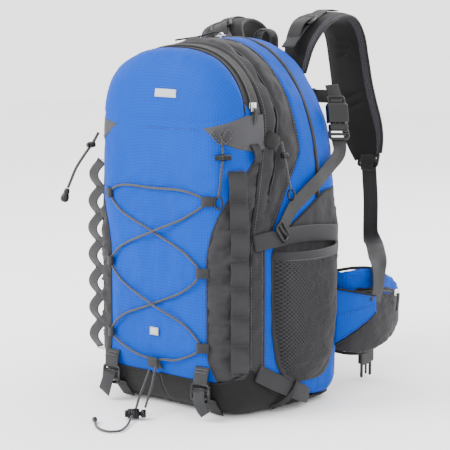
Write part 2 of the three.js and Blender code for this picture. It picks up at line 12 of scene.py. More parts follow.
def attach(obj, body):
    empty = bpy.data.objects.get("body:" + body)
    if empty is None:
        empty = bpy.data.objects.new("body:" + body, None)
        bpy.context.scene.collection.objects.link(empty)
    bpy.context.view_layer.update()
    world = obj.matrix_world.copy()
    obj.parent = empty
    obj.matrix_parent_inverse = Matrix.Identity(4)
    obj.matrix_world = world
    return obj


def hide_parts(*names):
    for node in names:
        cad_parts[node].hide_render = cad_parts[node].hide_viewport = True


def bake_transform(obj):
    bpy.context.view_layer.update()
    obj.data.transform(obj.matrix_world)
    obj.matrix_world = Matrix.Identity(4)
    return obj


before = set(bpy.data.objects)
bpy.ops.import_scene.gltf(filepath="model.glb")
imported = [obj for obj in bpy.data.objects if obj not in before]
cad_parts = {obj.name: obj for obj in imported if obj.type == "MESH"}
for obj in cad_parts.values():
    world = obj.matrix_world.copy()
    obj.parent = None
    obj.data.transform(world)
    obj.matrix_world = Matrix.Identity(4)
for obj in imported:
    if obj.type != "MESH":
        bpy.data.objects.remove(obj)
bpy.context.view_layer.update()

MM = 0.001

# ---- driving dimensions, as in the CAD part ----
ZIP_Y = 50
FOLD_Z = 290                # lower ends of the main zip
LID_Z = 389                 # seam under the front pocket's opening panel
LID_Y = -72                 # rear edge of that panel
BASE_Z = 56                 # top of the black base at the front
WEB = 24                    # webbing width
# y, half width, half width at the shoulder, underside, top, shoulder height, roundness of the arch
SECTIONS = np.array([
    [-114, 68, 66, 90, 425, 380, 2.4], [-111, 92, 86, 58, 450, 385, 2.5], [-104, 107, 100, 34, 468, 388, 2.5],
    [-92, 118, 110, 14, 481, 390, 2.5], [-76, 126, 118, 3, 488, 390, 2.4], [-55, 132, 122, 0, 492, 375, 2.3],
    [-20, 139, 129, 0, 496, 345, 2.2], [20, 145, 138, 0, 499, 315, 2.1], [50, 149, 144, 0, 500, 294, 2.1],
    [80, 149, 143, 0, 499, 285, 2.1], [98, 143, 137, 2, 492, 280, 2.1], [106, 134, 128, 8, 484, 275, 2.1],
    [110, 122, 116, 18, 472, 270, 2.1]], float)
CORNER_R = 34               # radius of the body's lower edges
BEND_Z = 250                # above this the sides lean in
FRONT_SEAM = ((-30, -75), (230, -75), (391, -40), (540, -40))     # z, y
MAIN_SEAM = ((-30, -50), (230, -50), (350, 20), (540, 20))


# ======== camera and stage ========
def make_camera():
    azimuth, elevation, distance = math.radians(40), math.radians(8), 2.0
    aim = Vector((0.019 * math.cos(azimuth), 0.019 * math.sin(azimuth), 0.242))
    back = Vector((math.sin(azimuth) * math.cos(elevation), -math.cos(azimuth) * math.cos(elevation),
                   math.sin(elevation)))
    data = bpy.data.cameras.new("camera")
    data.lens, data.sensor_width = 114, 36
    camera = bpy.data.objects.new("camera", data)
    bpy.context.scene.collection.objects.link(camera)
    camera.location = aim + back * distance
    camera.rotation_mode = "QUATERNION"
    camera.rotation_quaternion = (-back).to_track_quat("-Z", "Y")
    bpy.context.scene.camera = camera


make_camera()


# ======== node-based materials ========
class Shader:
    """A Principled material and short calls for its nodes."""

    def __init__(self, name, roughness, **inputs):
        self.material = bpy.data.materials.new(name)
        self.material.use_nodes = True
        self.tree = self.material.node_tree
        self.bsdf = self.tree.nodes["Principled BSDF"]
        self.bsdf.inputs["Roughness"].default_value = roughness
        for key, value in inputs.items():
            self.bsdf.inputs[key.replace("_", " ")].default_value = value

    def node(self, kind, **settings):
        made = self.tree.nodes.new(kind)
        for key, value in settings.items():
            setattr(made, key, value)
        return made

    def put(self, value, socket):
        if isinstance(value, bpy.types.NodeSocket):
            self.tree.links.new(value, socket)
        else:
            socket.default_value = value

    def math(self, operation, *values):
        made = self.node("ShaderNodeMath", operation=operation)
        for value, socket in zip(values, made.inputs):
            self.put(value, socket)
        return made.outputs[0]

    def cloth(self):
        """The fabric's own coordinates in millimetres, stored on the mesh: x across, y along."""
        found = self.node("ShaderNodeAttribute", attribute_name="cloth")
        parts = self.node("ShaderNodeSeparateXYZ")
        self.put(found.outputs["Vector"], parts.inputs[0])
        return parts.outputs[0], parts.outputs[1], found.outputs["Vector"]

    def place(self):
        return self.node("ShaderNodeTexCoord").outputs["Object"]

    def noise(self, scale, detail=3, vector=None, roughness=0.5):
        made = self.node("ShaderNodeTexNoise")
        self.put(self.place() if vector is None else vector, made.inputs["Vector"])
        made.inputs["Scale"].default_value = scale
        made.inputs["Detail"].default_value = detail
        made.inputs["Roughness"].default_value = roughness
        return made.outputs["Fac"]

    def cells(self, scale, vector, feature="DISTANCE_TO_EDGE", randomness=0.25):
        made = self.node("ShaderNodeTexVoronoi", feature=feature)
        self.put(vector, made.inputs["Vector"])
        made.inputs["Scale"].default_value = scale
        made.inputs["Randomness"].default_value = randomness
        return made.outputs["Distance"]

    def wave(self, value, period):
        """0 to 1 and back over each period."""
        angle = self.math("MULTIPLY", value, 2 * math.pi / period)
        return self.math("MULTIPLY_ADD", self.math("SINE", angle), 0.5, 0.5)

    def mix(self, share, low, high):
        made = self.node("ShaderNodeMix", data_type="RGBA")
        self.put(share, made.inputs["Factor"])
        self.put(low, made.inputs["A"])
        self.put(high, made.inputs["B"])
        return made.outputs["Result"]

    def colour(self, value):
        self.put(value, self.bsdf.inputs["Base Color"])

    def rough(self, value):
        self.put(value, self.bsdf.inputs["Roughness"])

    def bump(self, height, distance, strength=1.0):
        made = self.node("ShaderNodeBump")
        made.inputs["Strength"].default_value = strength
        made.inputs["Distance"].default_value = distance
        self.put(height, made.inputs["Height"])
        if self.bsdf.inputs["Normal"].links:
            self.put(self.bsdf.inputs["Normal"].links[0].from_socket, made.inputs["Normal"])
        self.put(made.outputs[0], self.bsdf.inputs["Normal"])


SHADE = 0.58                # share of their colour that cloths keep, because the studio is bright


def rgba(red, green, blue):
    """A colour from 0-255 display values."""
    def linear(value):
        share = value / 255
        return share / 12.92 if share < 0.04045 else ((share + 0.055) / 1.055) ** 2.4
    return (linear(red) * SHADE, linear(green) * SHADE, linear(blue) * SHADE, 1)


def scaled(colour, factor):
    return tuple(min(1, channel * factor) for channel in colour[:3]) + (1,)


def ripstop(name, colour):
    """Thin coated nylon: a 4.2 mm grid of thicker threads over a fine weave, with crease shading."""
    made = Shader(name, 0.55, Specular_IOR_Level=0.06)
    across, along, _ = made.cloth()
    ridge = made.math("MAXIMUM", made.math("POWER", made.wave(across, 4.2), 9),
                      made.math("POWER", made.wave(along, 4.2), 9))
    weave = made.math("MULTIPLY", made.wave(across, 0.7), made.wave(along, 0.7))
    cloudy = made.noise(9, 4)
    base = made.mix(cloudy, scaled(colour, 0.86), scaled(colour, 1.12))
    made.colour(made.mix(made.math("MULTIPLY", ridge, 0.42), base, scaled(colour, 0.5)))
    made.rough(made.math("MULTIPLY_ADD", made.noise(40, 2), 0.2, 0.45))
    made.bump(made.noise(26, 4, roughness=0.6), 0.0022, 0.5)
    made.bump(ridge, 0.0002, 0.8)
    made.bump(weave, 0.00006, 0.6)
    return made.material


def plain_weave(name, colour, thread=1.1, contrast=0.25, roughness=0.82, crease=0.0025):
    """Heavier pack cloth: visible over-and-under threads, slight fading and soft creases."""
    made = Shader(name, roughness, Sheen_Weight=0.05, Specular_IOR_Level=0.25)
    across, along, _ = made.cloth()
    weave = made.math("MULTIPLY", made.wave(across, thread), made.wave(along, thread))
    faded = made.mix(made.noise(7, 4), scaled(colour, 0.8), scaled(colour, 1.2))
    made.colour(made.mix(made.math("MULTIPLY", weave, contrast), faded, scaled(colour, 0.45)))
    made.rough(made.math("MULTIPLY_ADD", made.noise(60, 2), 0.15, roughness - 0.08))
    made.bump(made.noise(22, 5, roughness=0.6), crease, 0.6)
    made.bump(weave, 0.00012, 0.8)
    return made.material


def webbing(name, colour, ribs=2.4):
    """Woven tape: chevron ribs with a painted shine on their tops and painted shade between them, and random
    darker patches.
    """
    made = Shader(name, 0.6, Sheen_Weight=0.05, Specular_IOR_Level=0.3)
    across, along, _ = made.cloth()
    fold = made.math("ABSOLUTE", across)
    rib = made.wave(made.math("ADD", fold, along), ribs)
    fine = made.wave(along, 0.8)
    # Rib tops are painted lighter and the grooves between ribs darker: painted highlight and painted shade.
    base = made.mix(rib, scaled(colour, 0.66), scaled(colour, 1.2))
    made.colour(made.mix(made.math("MULTIPLY", made.noise(30, 3), 0.35), base, scaled(colour, 0.7)))
    made.bump(rib, 0.00035, 0.9)
    made.bump(fine, 0.00012, 0.7)
    return made.material


def spacer_mesh(name, colour, hole=3.2, depth=0.0007):
    """Knitted spacer mesh: rows of small open cells, with painted shade in them."""
    made = Shader(name, 0.85, Specular_IOR_Level=0.2)
    _, _, vector = made.cloth()
    cells = made.cells(1 / hole, vector)
    open_ = made.math("SMOOTH_MIN", made.math("MULTIPLY", cells, 3.2), 1.0, 0.2)
    # The sunk insides of the cells are painted darker than their rims: painted shade in the holes.
    made.colour(made.mix(open_, scaled(colour, 1.6), scaled(colour, 0.45)))
    made.bump(open_, -depth, 1.0)
    made.bump(made.noise(400, 2), 0.0002, 0.5)
    return made.material


def moulded(name, colour, roughness=0.38):
    """Injection-moulded plastic: faint grain, a little uneven gloss and lighter worn spots."""
    made = Shader(name, roughness, Specular_IOR_Level=0.35)
    made.colour(made.mix(made.noise(60, 4), scaled(colour, 0.8), scaled(colour, 1.5)))
    made.rough(made.math("MULTIPLY_ADD", made.noise(120, 3), 0.25, roughness - 0.1))
    made.bump(made.noise(1500, 2), 0.00008, 0.6)
    return made.material


def braid(name, dark, light):
    """Elastic cord: a braided cover with painted highlight on its strands and painted shade between them, and
    two light tracers that wind round it.
    """
    made = Shader(name, 0.6, Sheen_Weight=0.2)
    across, along, _ = made.cloth()
    one = made.wave(made.math("ADD", along, made.math("MULTIPLY", across, 1.0)), 1.1)
    two = made.wave(made.math("SUBTRACT", along, made.math("MULTIPLY", across, 1.0)), 1.1)
    threads = made.math("MULTIPLY", one, two)
    tracer = made.math("GREATER_THAN", made.wave(made.math("ADD", along, across), 5.2), 0.62)
    # Raised strands are painted lighter and the grooves between strands darker: painted highlight and painted
    # shade. The tracers are the cord's own colour.
    made.colour(made.mix(tracer, made.mix(threads, scaled(dark, 0.6), scaled(dark, 1.6)), light))
    made.bump(threads, 0.00025, 0.9)
    return made.material


def metal(name, colour):
    """Plated zinc: bright, with fine scratches and duller patches."""
    made = Shader(name, 0.28, Metallic=1.0)
    made.colour(made.mix(made.noise(90, 3), scaled(colour, 0.75), colour))
    made.rough(made.math("MULTIPLY_ADD", made.noise(200, 4), 0.25, 0.18))
    made.bump(made.noise(900, 2), 0.00005, 0.5)
    return made.material


def thread(name, colour):
    """Twisted sewing thread."""
    made = Shader(name, 0.7, Sheen_Weight=0.2)
    made.colour(made.mix(made.noise(800, 2), scaled(colour, 0.7), scaled(colour, 1.3)))
    made.bump(made.noise(2500, 1), 0.0001, 0.6)
    return made.material


def zip_teeth(name):
    """Nylon coil: evenly spaced black teeth, with painted highlight on their tops and painted shade between
    them.
    """
    made = Shader(name, 0.42)
    _, along, _ = made.cloth()
    tooth = made.wave(along, 1.5)
    # Tooth tops are painted lighter and the gaps between teeth darker: painted highlight and painted shade.
    made.colour(made.mix(tooth, rgba(10, 10, 12), rgba(52, 52, 56)))
    made.bump(tooth, 0.0006, 1.0)
    return made.material


BLUE = (0.0, 0.085 * SHADE, 0.6 * SHADE, 1)
BLUE_CLOTH = ripstop("blue ripstop", BLUE)
GREY_CLOTH = plain_weave("grey pack cloth", rgba(51, 50, 53))
PATCH_CLOTH = plain_weave("grey patch", rgba(78, 78, 82), thread=0.8, contrast=0.1, crease=0.0008)
BLACK_CLOTH = plain_weave("black pack cloth", rgba(16, 16, 18), thread=1.3, crease=0.0015)
LINING = plain_weave("grey lining", rgba(70, 72, 76), thread=0.8, roughness=0.7)
GREY_WEB = webbing("grey webbing", rgba(42, 42, 46))
BLACK_WEB = webbing("black webbing", rgba(11, 11, 13))
AIR_MESH = spacer_mesh("black spacer mesh", rgba(18, 18, 20))
NET_YARN = plain_weave("net yarn", rgba(80, 79, 82), thread=0.7, crease=0.0003)
BLACK_PLASTIC = moulded("black plastic", rgba(12, 12, 13))
FRAME_BOARD = moulded("frame board", rgba(44, 45, 47), 0.5)
CORD = braid("elastic cord", rgba(24, 24, 27), rgba(56, 54, 57))
STEEL = metal("plated slider", (0.8, 0.8, 0.81, 1))
BLACK_THREAD = thread("black thread", rgba(22, 22, 26))
GREY_THREAD = thread("grey thread", rgba(92, 90, 94))
BLUE_THREAD = thread("blue thread", rgba(0, 40, 130))
COIL = zip_teeth("zip coil")
STRAP_CLOTH = plain_weave("strap cloth", rgba(14, 14, 16), thread=0.9, contrast=0.3, crease=0.001)
EDGE_MESH = spacer_mesh("strap edge mesh", rgba(72, 72, 78), hole=2.6, depth=0.0009)
LIFT_WEB = webbing("dark grey webbing", rgba(34, 34, 38))


# ======== mesh making ========
def as_mesh(name, points, faces, materials, cloth=None, face_slots=None, smooth=True):
    """A mesh object in metres from points in millimetres. The piece takes its first material's slot."""
    mesh = bpy.data.meshes.new(name)
    mesh.from_pydata((np.asarray(points, float) * MM).tolist(), [], [list(map(int, f)) for f in faces])
    for material in materials:
        mesh.materials.append(material)
    if face_slots is not None:
        mesh.polygons.foreach_set("material_index", np.asarray(face_slots, np.int32))
    if cloth is not None:
        stored = mesh.attributes.new("cloth", "FLOAT_VECTOR", "POINT")
        stored.data.foreach_set("vector", np.asarray(cloth, np.float32).ravel())
    mesh.polygons.foreach_set("use_smooth", [smooth] * len(mesh.polygons))
    mesh.validate()
    made = bpy.data.objects.new(name, mesh)
    bpy.context.scene.collection.objects.link(made)
    return made


def grid_faces(rows, columns, start=0, flip=False, closed=False):
    """Quads of a grid of points stored row by row. closed joins the last column to the first."""
    faces = []
    for r in range(rows - 1):
        for c in range(columns if closed else columns - 1):
            a, b = start + r * columns + c, start + r * columns + (c + 1) % columns
            quad = (a, b, b + columns, a + columns)
            faces.append(quad[::-1] if flip else quad)
    return faces


def lengths(grid):
    """Cloth coordinates: distance along the rows and the columns from the grid's middle, in mm."""
    rows, columns = grid.shape[:2]
    across = np.zeros((rows, columns))
    along = np.zeros((rows, columns))
    across[:, 1:] = np.cumsum(np.linalg.norm(np.diff(grid, axis=1), axis=2), axis=1)
    along[1:] = np.cumsum(np.linalg.norm(np.diff(grid, axis=0), axis=2), axis=0)
    across -= across[:, columns // 2][:, None]
    return np.stack([across, along, np.zeros_like(across)], axis=2)


def normals(grid):
    """Unit normals of a grid that face away from the middle of the pack."""
    across = np.gradient(grid, axis=1)
    along = np.gradient(grid, axis=0)
    found = np.cross(across, along)
    found /= np.maximum(np.linalg.norm(found, axis=2, keepdims=True), 1e-9)
    centre = grid.copy()
    centre[..., 0] = 0
    centre[..., 1] = -5
    centre[..., 2] = np.clip(grid[..., 2], 70, 330)
    away = np.sum(found * (grid - centre), axis=2).mean()
    return found if away > 0 else -found


def cloth_shell(name, grid, materials, thickness=1.6, out=None):
    """A sheet with thickness: the outside is the grid, the inside lies under it, and a rim joins them."""
    out = normals(grid) if out is None else out
    rows, columns = grid.shape[:2]
    count = rows * columns
    inner = grid - out * thickness
    points = np.vstack([grid.reshape(-1, 3), inner.reshape(-1, 3)])
    faces = grid_faces(rows, columns) + grid_faces(rows, columns, count, flip=True)
    slots = [0] * ((rows - 1) * (columns - 1)) + [len(materials) - 1] * ((rows - 1) * (columns - 1))
    ring = ([c for c in range(columns)] + [r * columns + columns - 1 for r in range(1, rows)]
            + [(rows - 1) * columns + c for c in range(columns - 2, -1, -1)]
            + [r * columns for r in range(rows - 2, 0, -1)])
    for a, b in zip(ring, ring[1:] + ring[:1]):
        faces.append((b, a, a + count, b + count))
        slots.append(0)
    first = grid_normal_sign(grid, out)
    if first < 0:
        faces = [face[::-1] for face in faces]
    cloth = lengths(grid).reshape(-1, 3)
    return as_mesh(name, points, faces, materials, np.vstack([cloth, cloth]), slots)


def grid_normal_sign(grid, out):
    across = np.gradient(grid, axis=1)
    along = np.gradient(grid, axis=0)
    return np.sum(np.cross(across, along) * out, axis=2).mean()


def distance_along(path):
    """Distance from the start at each point of a path."""
    return np.concatenate([[0], np.cumsum(np.linalg.norm(np.diff(path, axis=0), axis=1))])


def capped_faces(rows, sides):
    """Faces of a tube of rings, closed at both ends."""
    last = (rows - 1) * sides
    return grid_faces(rows, sides, closed=True) + [tuple(range(sides))[::-1],
                                                   tuple(range(last, last + sides))]


def smooth_path(points, step=3.0, closed=False):
    """Points about a step apart on a centripetal Catmull-Rom curve through the given ones."""
    given = [np.array(p, float) for p in points]
    if closed:
        chain = [given[-1]] + given + given[:2]
    else:
        chain = [2 * given[0] - given[1]] + given + [2 * given[-1] - given[-2]]
    made = []
    for p0, p1, p2, p3 in zip(chain, chain[1:], chain[2:], chain[3:]):
        t1 = np.sqrt(np.linalg.norm(p1 - p0)) + 1e-9
        t2 = t1 + np.sqrt(np.linalg.norm(p2 - p1)) + 1e-9
        t3 = t2 + np.sqrt(np.linalg.norm(p3 - p2)) + 1e-9
        for t in np.linspace(t1, t2, 14, endpoint=False):
            a1 = (t1 - t) / t1 * p0 + t / t1 * p1
            a2 = (t2 - t) / (t2 - t1) * p1 + (t - t1) / (t2 - t1) * p2
            a3 = (t3 - t) / (t3 - t2) * p2 + (t - t2) / (t3 - t2) * p3
            b1 = (t2 - t) / t2 * a1 + t / t2 * a2
            b2 = (t3 - t) / (t3 - t1) * a2 + (t - t1) / (t3 - t1) * a3
            made.append((t2 - t) / (t2 - t1) * b1 + (t - t1) / (t2 - t1) * b2)
    made.append(given[0] if closed else given[-1])
    made = np.array(made)
    run = np.concatenate([[0], np.cumsum(np.linalg.norm(np.diff(made, axis=0), axis=1))])
    count = max(3, int(round(run[-1] / step)) + 1)
    even = np.linspace(0, run[-1], count)
    return np.stack([np.interp(even, run, made[:, k]) for k in range(3)], axis=1)


def unit(vectors):
    vectors = np.asarray(vectors, float)
    return vectors / np.maximum(np.linalg.norm(vectors, axis=-1, keepdims=True), 1e-9)


def tangents(path):
    return unit(np.gradient(path, axis=0))


def tube_parts(path, radius, sides=10):
    """Points, faces and cloth coordinates of a tube with closed ends. radius is a number or one per point."""
    along = tangents(path)
    side = np.cross(along[0], [0.3, 0.2, 1.0])
    radii = np.broadcast_to(np.asarray(radius, float), (len(path),))
    rings, cloth = [], []
    run = distance_along(path)
    for at, way, size, far in zip(path, along, radii, run):
        side = unit(side - way * np.dot(side, way))
        up = np.cross(way, side)
        for k in range(sides):
            turn = 2 * math.pi * k / sides
            rings.append(at + size * (math.cos(turn) * side + math.sin(turn) * up))
            cloth.append((size * abs(turn - math.pi), far, 0))
    faces = capped_faces(len(path), sides)
    return np.array(rings), faces, np.array(cloth)


def tube(name, points, radius, material, step=2.5, sides=10, closed=False):
    path = smooth_path(points, step, closed)
    rings, faces, cloth = tube_parts(path, radius, sides)
    return as_mesh(name, rings, faces, [material], cloth)


def strap(name, points, across, width, thickness, material, step=4.0, bow=0.0):
    """Webbing along a smooth line with rounded edges. across(share) is the direction of its width."""
    path = smooth_path(points, step)
    along = tangents(path)
    outline = [(-0.5, 0.0), (-0.485, 0.4), (-0.44, 0.5), (-0.2, 0.5 + bow), (0.0, 0.5 + bow),
               (0.2, 0.5 + bow),
               (0.44, 0.5), (0.485, 0.4), (0.5, 0.0), (0.485, -0.4), (0.44, -0.5), (0.2, -0.5), (0.0, -0.5),
               (-0.2, -0.5), (-0.44, -0.5), (-0.485, -0.4)]
    rings, cloth = [], []
    run = distance_along(path)
    for i, (at, way, far) in enumerate(zip(path, along, run)):
        share = i / (len(path) - 1)
        wide = np.array(across(share) if callable(across) else across, float)
        wide = unit(wide - way * np.dot(wide, way))
        up = np.cross(way, wide)
        size = width(share) if callable(width) else width
        for u, v in outline:
            rings.append(at + wide * u * size + up * v * thickness)
            cloth.append((u * size, far, 0))
    sides = len(outline)
    faces = capped_faces(len(path), sides)
    return as_mesh(name, rings, faces, [material], cloth)


def joined(name, parts, material):
    """One object from (points, faces, cloth) lists."""
    points, faces, cloth = [], [], []
    for part_points, part_faces, part_cloth in parts:
        start = len(points)
        points.extend(part_points)
        cloth.extend(part_cloth)
        faces.extend(tuple(start + i for i in face) for face in part_faces)
    return as_mesh(name, points, faces, [material], cloth)


def stitch_parts(path, out, long=2.6, gap=1.4, radius=0.42):
    """Short raised stitches along a path of points."""
    run = distance_along(path)
    parts = []
    at = gap
    while at + long < run[-1]:
        pair = np.stack([np.interp([at, at + long / 2, at + long], run, path[:, k]) for k in range(3)],
                        axis=1)
        lift = np.stack([np.interp([at, at + long / 2, at + long], run, out[:, k]) for k in range(3)], axis=1)
        pair = pair + lift * np.array([[-0.1], [radius * 0.9], [-0.1]])
        parts.append(tube_parts(pair, [radius * 0.8, radius, radius * 0.8], 5))
        at += long + gap
    return parts


# ======== the body's outside ========
FINE_Y = np.linspace(SECTIONS[0, 0], SECTIONS[-1, 0], 449)


def fine_sections():
    """The section table resampled with its corners rounded off, so that panels have no creases."""
    table = np.stack([np.interp(FINE_Y, SECTIONS[:, 0], SECTIONS[:, k]) for k in range(1, 7)], axis=1)
    for _ in range(60):
        table[1:-1] = (table[:-2] + 2 * table[1:-1] + table[2:]) / 4
    return table


FINE = fine_sections()


def is_inside(p):
    x, y, z = np.abs(p[..., 0]), p[..., 1], p[..., 2]
    wide, shoulder, low, top, bend, power = (np.interp(y, FINE_Y, FINE[:, k]) for k in range(6))
    lean = np.clip((z - BEND_Z) / np.maximum(bend - BEND_Z, 1), 0, 1)
    limit = wide + (shoulder - wide) * lean
    rise = np.clip((z - bend) / np.maximum(top - bend, 1), 0, 1)
    limit = limit * np.maximum(0, 1 - rise ** power) ** (1 / power)
    drop = np.clip((low + CORNER_R - z) / CORNER_R, 0, 1)
    limit = limit - CORNER_R * (1 - np.sqrt(1 - drop ** 2))
    return (x < limit) & (y > FINE_Y[0]) & (y < FINE_Y[-1]) & (z > low) & (z < top)


def cast(centre, way):
    """Where rays from centres inside leave the body."""
    near, far = np.zeros(way.shape[:-1]), np.full(way.shape[:-1], 420.0)
    for _ in range(22):
        middle = (near + far) / 2
        inside = is_inside(centre + way * middle[..., None])
        near, far = np.where(inside, middle, near), np.where(inside, far, middle)
    return centre + way * near[..., None]


def onto_body(p):
    """Points moved onto the body along rays from its middle line."""
    p = np.asarray(p, float)
    centre = np.stack([0 * p[..., 0], 0 * p[..., 0] - 5, np.clip(p[..., 2], 60, 330)], axis=-1)
    return cast(centre, unit(p - centre))


def chart(degrees, z):
    """The body's surface at a bearing from straight ahead and a height."""
    turn = np.radians(np.asarray(degrees, float))
    z = np.asarray(z, float) + 0 * turn
    centre = np.stack([0 * z, 0 * z - 5, z], axis=-1)
    return cast(centre, np.stack([np.sin(turn), -np.cos(turn), 0 * turn], axis=-1))


def front(x, z, off=0.0):
    """The front face at x, z, moved out by off."""
    x, z = np.asarray(x, float), np.asarray(z, float) + 0 * np.asarray(x, float)
    hit = cast(np.stack([x, 0 * x, z], axis=-1), np.stack([0 * x, 0 * x - 1, 0 * x], axis=-1))
    hit[..., 1] -= off
    return hit


def side(y, z, off=0.0, sign=1):
    """The side at y, z, moved out by off."""
    y, z = np.asarray(y, float), np.asarray(z, float) + 0 * np.asarray(y, float)
    hit = cast(np.stack([0 * y, y, z], axis=-1), np.stack([0 * y + sign, 0 * y, 0 * y], axis=-1))
    hit[..., 0] += sign * off
    return hit


def hoop(seam, low, count, shift=0.0):
    """Points up the right side, over the top and down the left, at the y that seam gives each height."""
    straight = 0.30
    share = np.linspace(0, 1, count)
    z = np.where(share < straight, low + (BEND_Z - low) * share / straight,
                 np.where(share > 1 - straight, low + (BEND_Z - low) * (1 - share) / straight, BEND_Z))
    turn = np.clip((share - straight) / (1 - 2 * straight), 0, 1) * math.pi
    way = np.stack([np.cos(turn), 0 * turn, np.sin(turn)], axis=-1)
    point_z = z.copy()
    for _ in range(5):
        y = np.interp(point_z, *seam) + shift
        hit = cast(np.stack([0 * y, y, z], axis=-1), way)
        point_z = hit[..., 2]
    return hit


def seam_of(pairs):
    return np.array([z for z, _ in pairs], float), np.array([y for _, y in pairs], float)


def flat_seam(y):
    return np.array([-100.0, 600.0]), np.array([y, y], float)


def between(a, b, count):
    """A grid of count columns between two curves with the same number of points, lying on the body."""
    share = np.linspace(0, 1, count)[None, :, None]
    return onto_body(a[:, None, :] * (1 - share) + b[:, None, :] * share)


def creases(grid, size, scale, seed, stretch=(1, 1, 1)):
    """Smooth folds in mm for each point of a grid."""
    found = np.zeros(grid.shape[:2])
    for r in range(grid.shape[0]):
        for c in range(grid.shape[1]):
            p = grid[r, c] * np.array(stretch) / scale
            found[r, c] = noise.fractal(Vector(p + seed), 0.6, 2.1, 4)
    return found * size


def puffed(grid, puff=3.0, crease=1.2, scale=46, seed=1.0, off=0.6, edge=5, stretch=(1, 1, 1)):
    """A panel that swells between its seams and has soft folds."""
    rows, columns = grid.shape[:2]
    u = np.abs(np.linspace(-1, 1, columns))[None, :]
    v = np.abs(np.linspace(-1, 1, rows))[:, None]
    swell = (1 - u ** edge) * (1 - v ** edge)
    return grid + normals(grid) * (off + puff * swell + creases(grid, crease, scale, seed,
                                                                stretch) * swell)[..., None]


def on_panel(piece, *nodes):
    """The piece keeps its place, with its transform baked into its points, and the given CAD parts are
    hidden.
    """
    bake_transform(piece)
    if nodes:
        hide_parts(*nodes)
    return piece


def on_body(piece, body, *nodes):
    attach(piece, body)
    if nodes:
        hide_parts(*nodes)
    return piece


def outward(path):
    """Directions away from the pack's middle line at each point of a curve."""
    centre = np.stack([0 * path[:, 0], 0 * path[:, 0] - 5, np.clip(path[:, 2], 60, 330)], axis=1)
    return unit(path - centre)


def piping(name, curve, radius=1.3, off=0.9, material=BLACK_CLOTH):
    path = smooth_path(curve[::4] if len(curve) > 60 else curve, 4.0) + 0
    path = path + outward(path) * off
    rings, faces, cloth = tube_parts(path, radius, 8)
    return as_mesh(name, rings, faces, [material], cloth)


def seam_stitches(name, curves, off=2.0, material=BLACK_THREAD, **sizes):
    parts = []
    for curve in curves:
        path = smooth_path(curve[::4] if len(curve) > 60 else curve, 4.0)
        out = outward(path)
        parts += stitch_parts(path + out * off, out, **sizes)
    return joined(name, parts, material)


def bearing(seam, z):
    """Bearing of the point where a side seam crosses a height."""
    hit = side(np.interp(z, *seam), z)
    return np.degrees(np.arctan2(hit[..., 0], -(hit[..., 1] + 5)))


front_seam, main_seam = seam_of(FRONT_SEAM), seam_of(MAIN_SEAM)
# Bearing of the edge between the blue front and its grey sides, by height.
EDGE_Z = [40, 60, 76, 100, 220, 250, 275, 300, 320, 340, 356]
EDGE_BEARING = [47, 43.5, 40.5, 39.5, 39.5, 42, 46, 52, 58, 65, 71.5]
PATCH_START = {1: 38, -1: 32}       # bearings where the right and left corner patches begin
LID_CORNER_Z = 404


def front_edge(z):
    return np.minimum(np.interp(z, EDGE_Z, EDGE_BEARING), bearing(front_seam, z))


def base_top(y):
    """Upper edge of the black base on the sides."""
    return np.interp(y, [-104, -90, -70, -52, -30, 10, 60, 110], [50, 58, 66, 50, 30, 14, 9, 9])


def front_panels():
    z = np.linspace(49, LID_Z, 110)
    edge = front_edge(z)
    right, left = chart(edge, z), chart(-edge, z)
    grid = puffed(between(right, left, 70), puff=3.6, crease=2.6, scale=52, seed=3.1, stretch=(1, 1, 0.7))
    on_panel(cloth_shell("front_panel", grid, [BLUE_CLOTH, LINING]), "front_pocket_lower",
             "front_pocket_upper")
    for tag, sign in (("right", 1), ("left", -1)):
        z = np.linspace(54, 354, 100)
        inner, outer = front_edge(z), bearing(front_seam, z)
        grid = between(chart(sign * inner, z), chart(sign * outer, z), 16)
        grid = puffed(grid, puff=3.0, crease=5.6, scale=36, seed=8.0 + sign, stretch=(1.6, 0.4, 2.4))
        on_panel(cloth_shell(f"front_side_{tag}", grid, [GREY_CLOTH, LINING]))
        curve = chart(sign * front_edge(np.linspace(52, 356, 90)), np.linspace(52, 356, 90))
        on_panel(piping(f"front_piping_{tag}", curve, 1.1, 1.2, GREY_CLOTH))
        seam_z = np.linspace(62, 392, 100)
        on_panel(piping(f"gusset_piping_{tag}", chart(sign * bearing(front_seam, seam_z), seam_z), 1.4, 1.2))


def lid_edge(count):
    """Lower edge of the opening panel, right to left: level in front, rising over the corner patches."""
    corner = float(bearing(flat_seam(LID_Y), LID_CORNER_Z))
    turn = np.linspace(corner, -corner, count)
    start = np.where(turn > 0, PATCH_START[1], PATCH_START[-1])
    rise = np.clip((np.abs(turn) - start) / (corner - start), 0, 1)
    z = LID_Z + 0.8 + (LID_CORNER_Z - LID_Z) * rise ** 1.3
    return chart(turn, z)


def lid_arch(y, z, count):
    turn = np.linspace(0, math.pi, count)
    centre = np.stack([0 * turn, 0 * turn + y, 0 * turn + z], axis=1)
    return cast(centre, np.stack([np.cos(turn), 0 * turn, np.sin(turn)], axis=1))


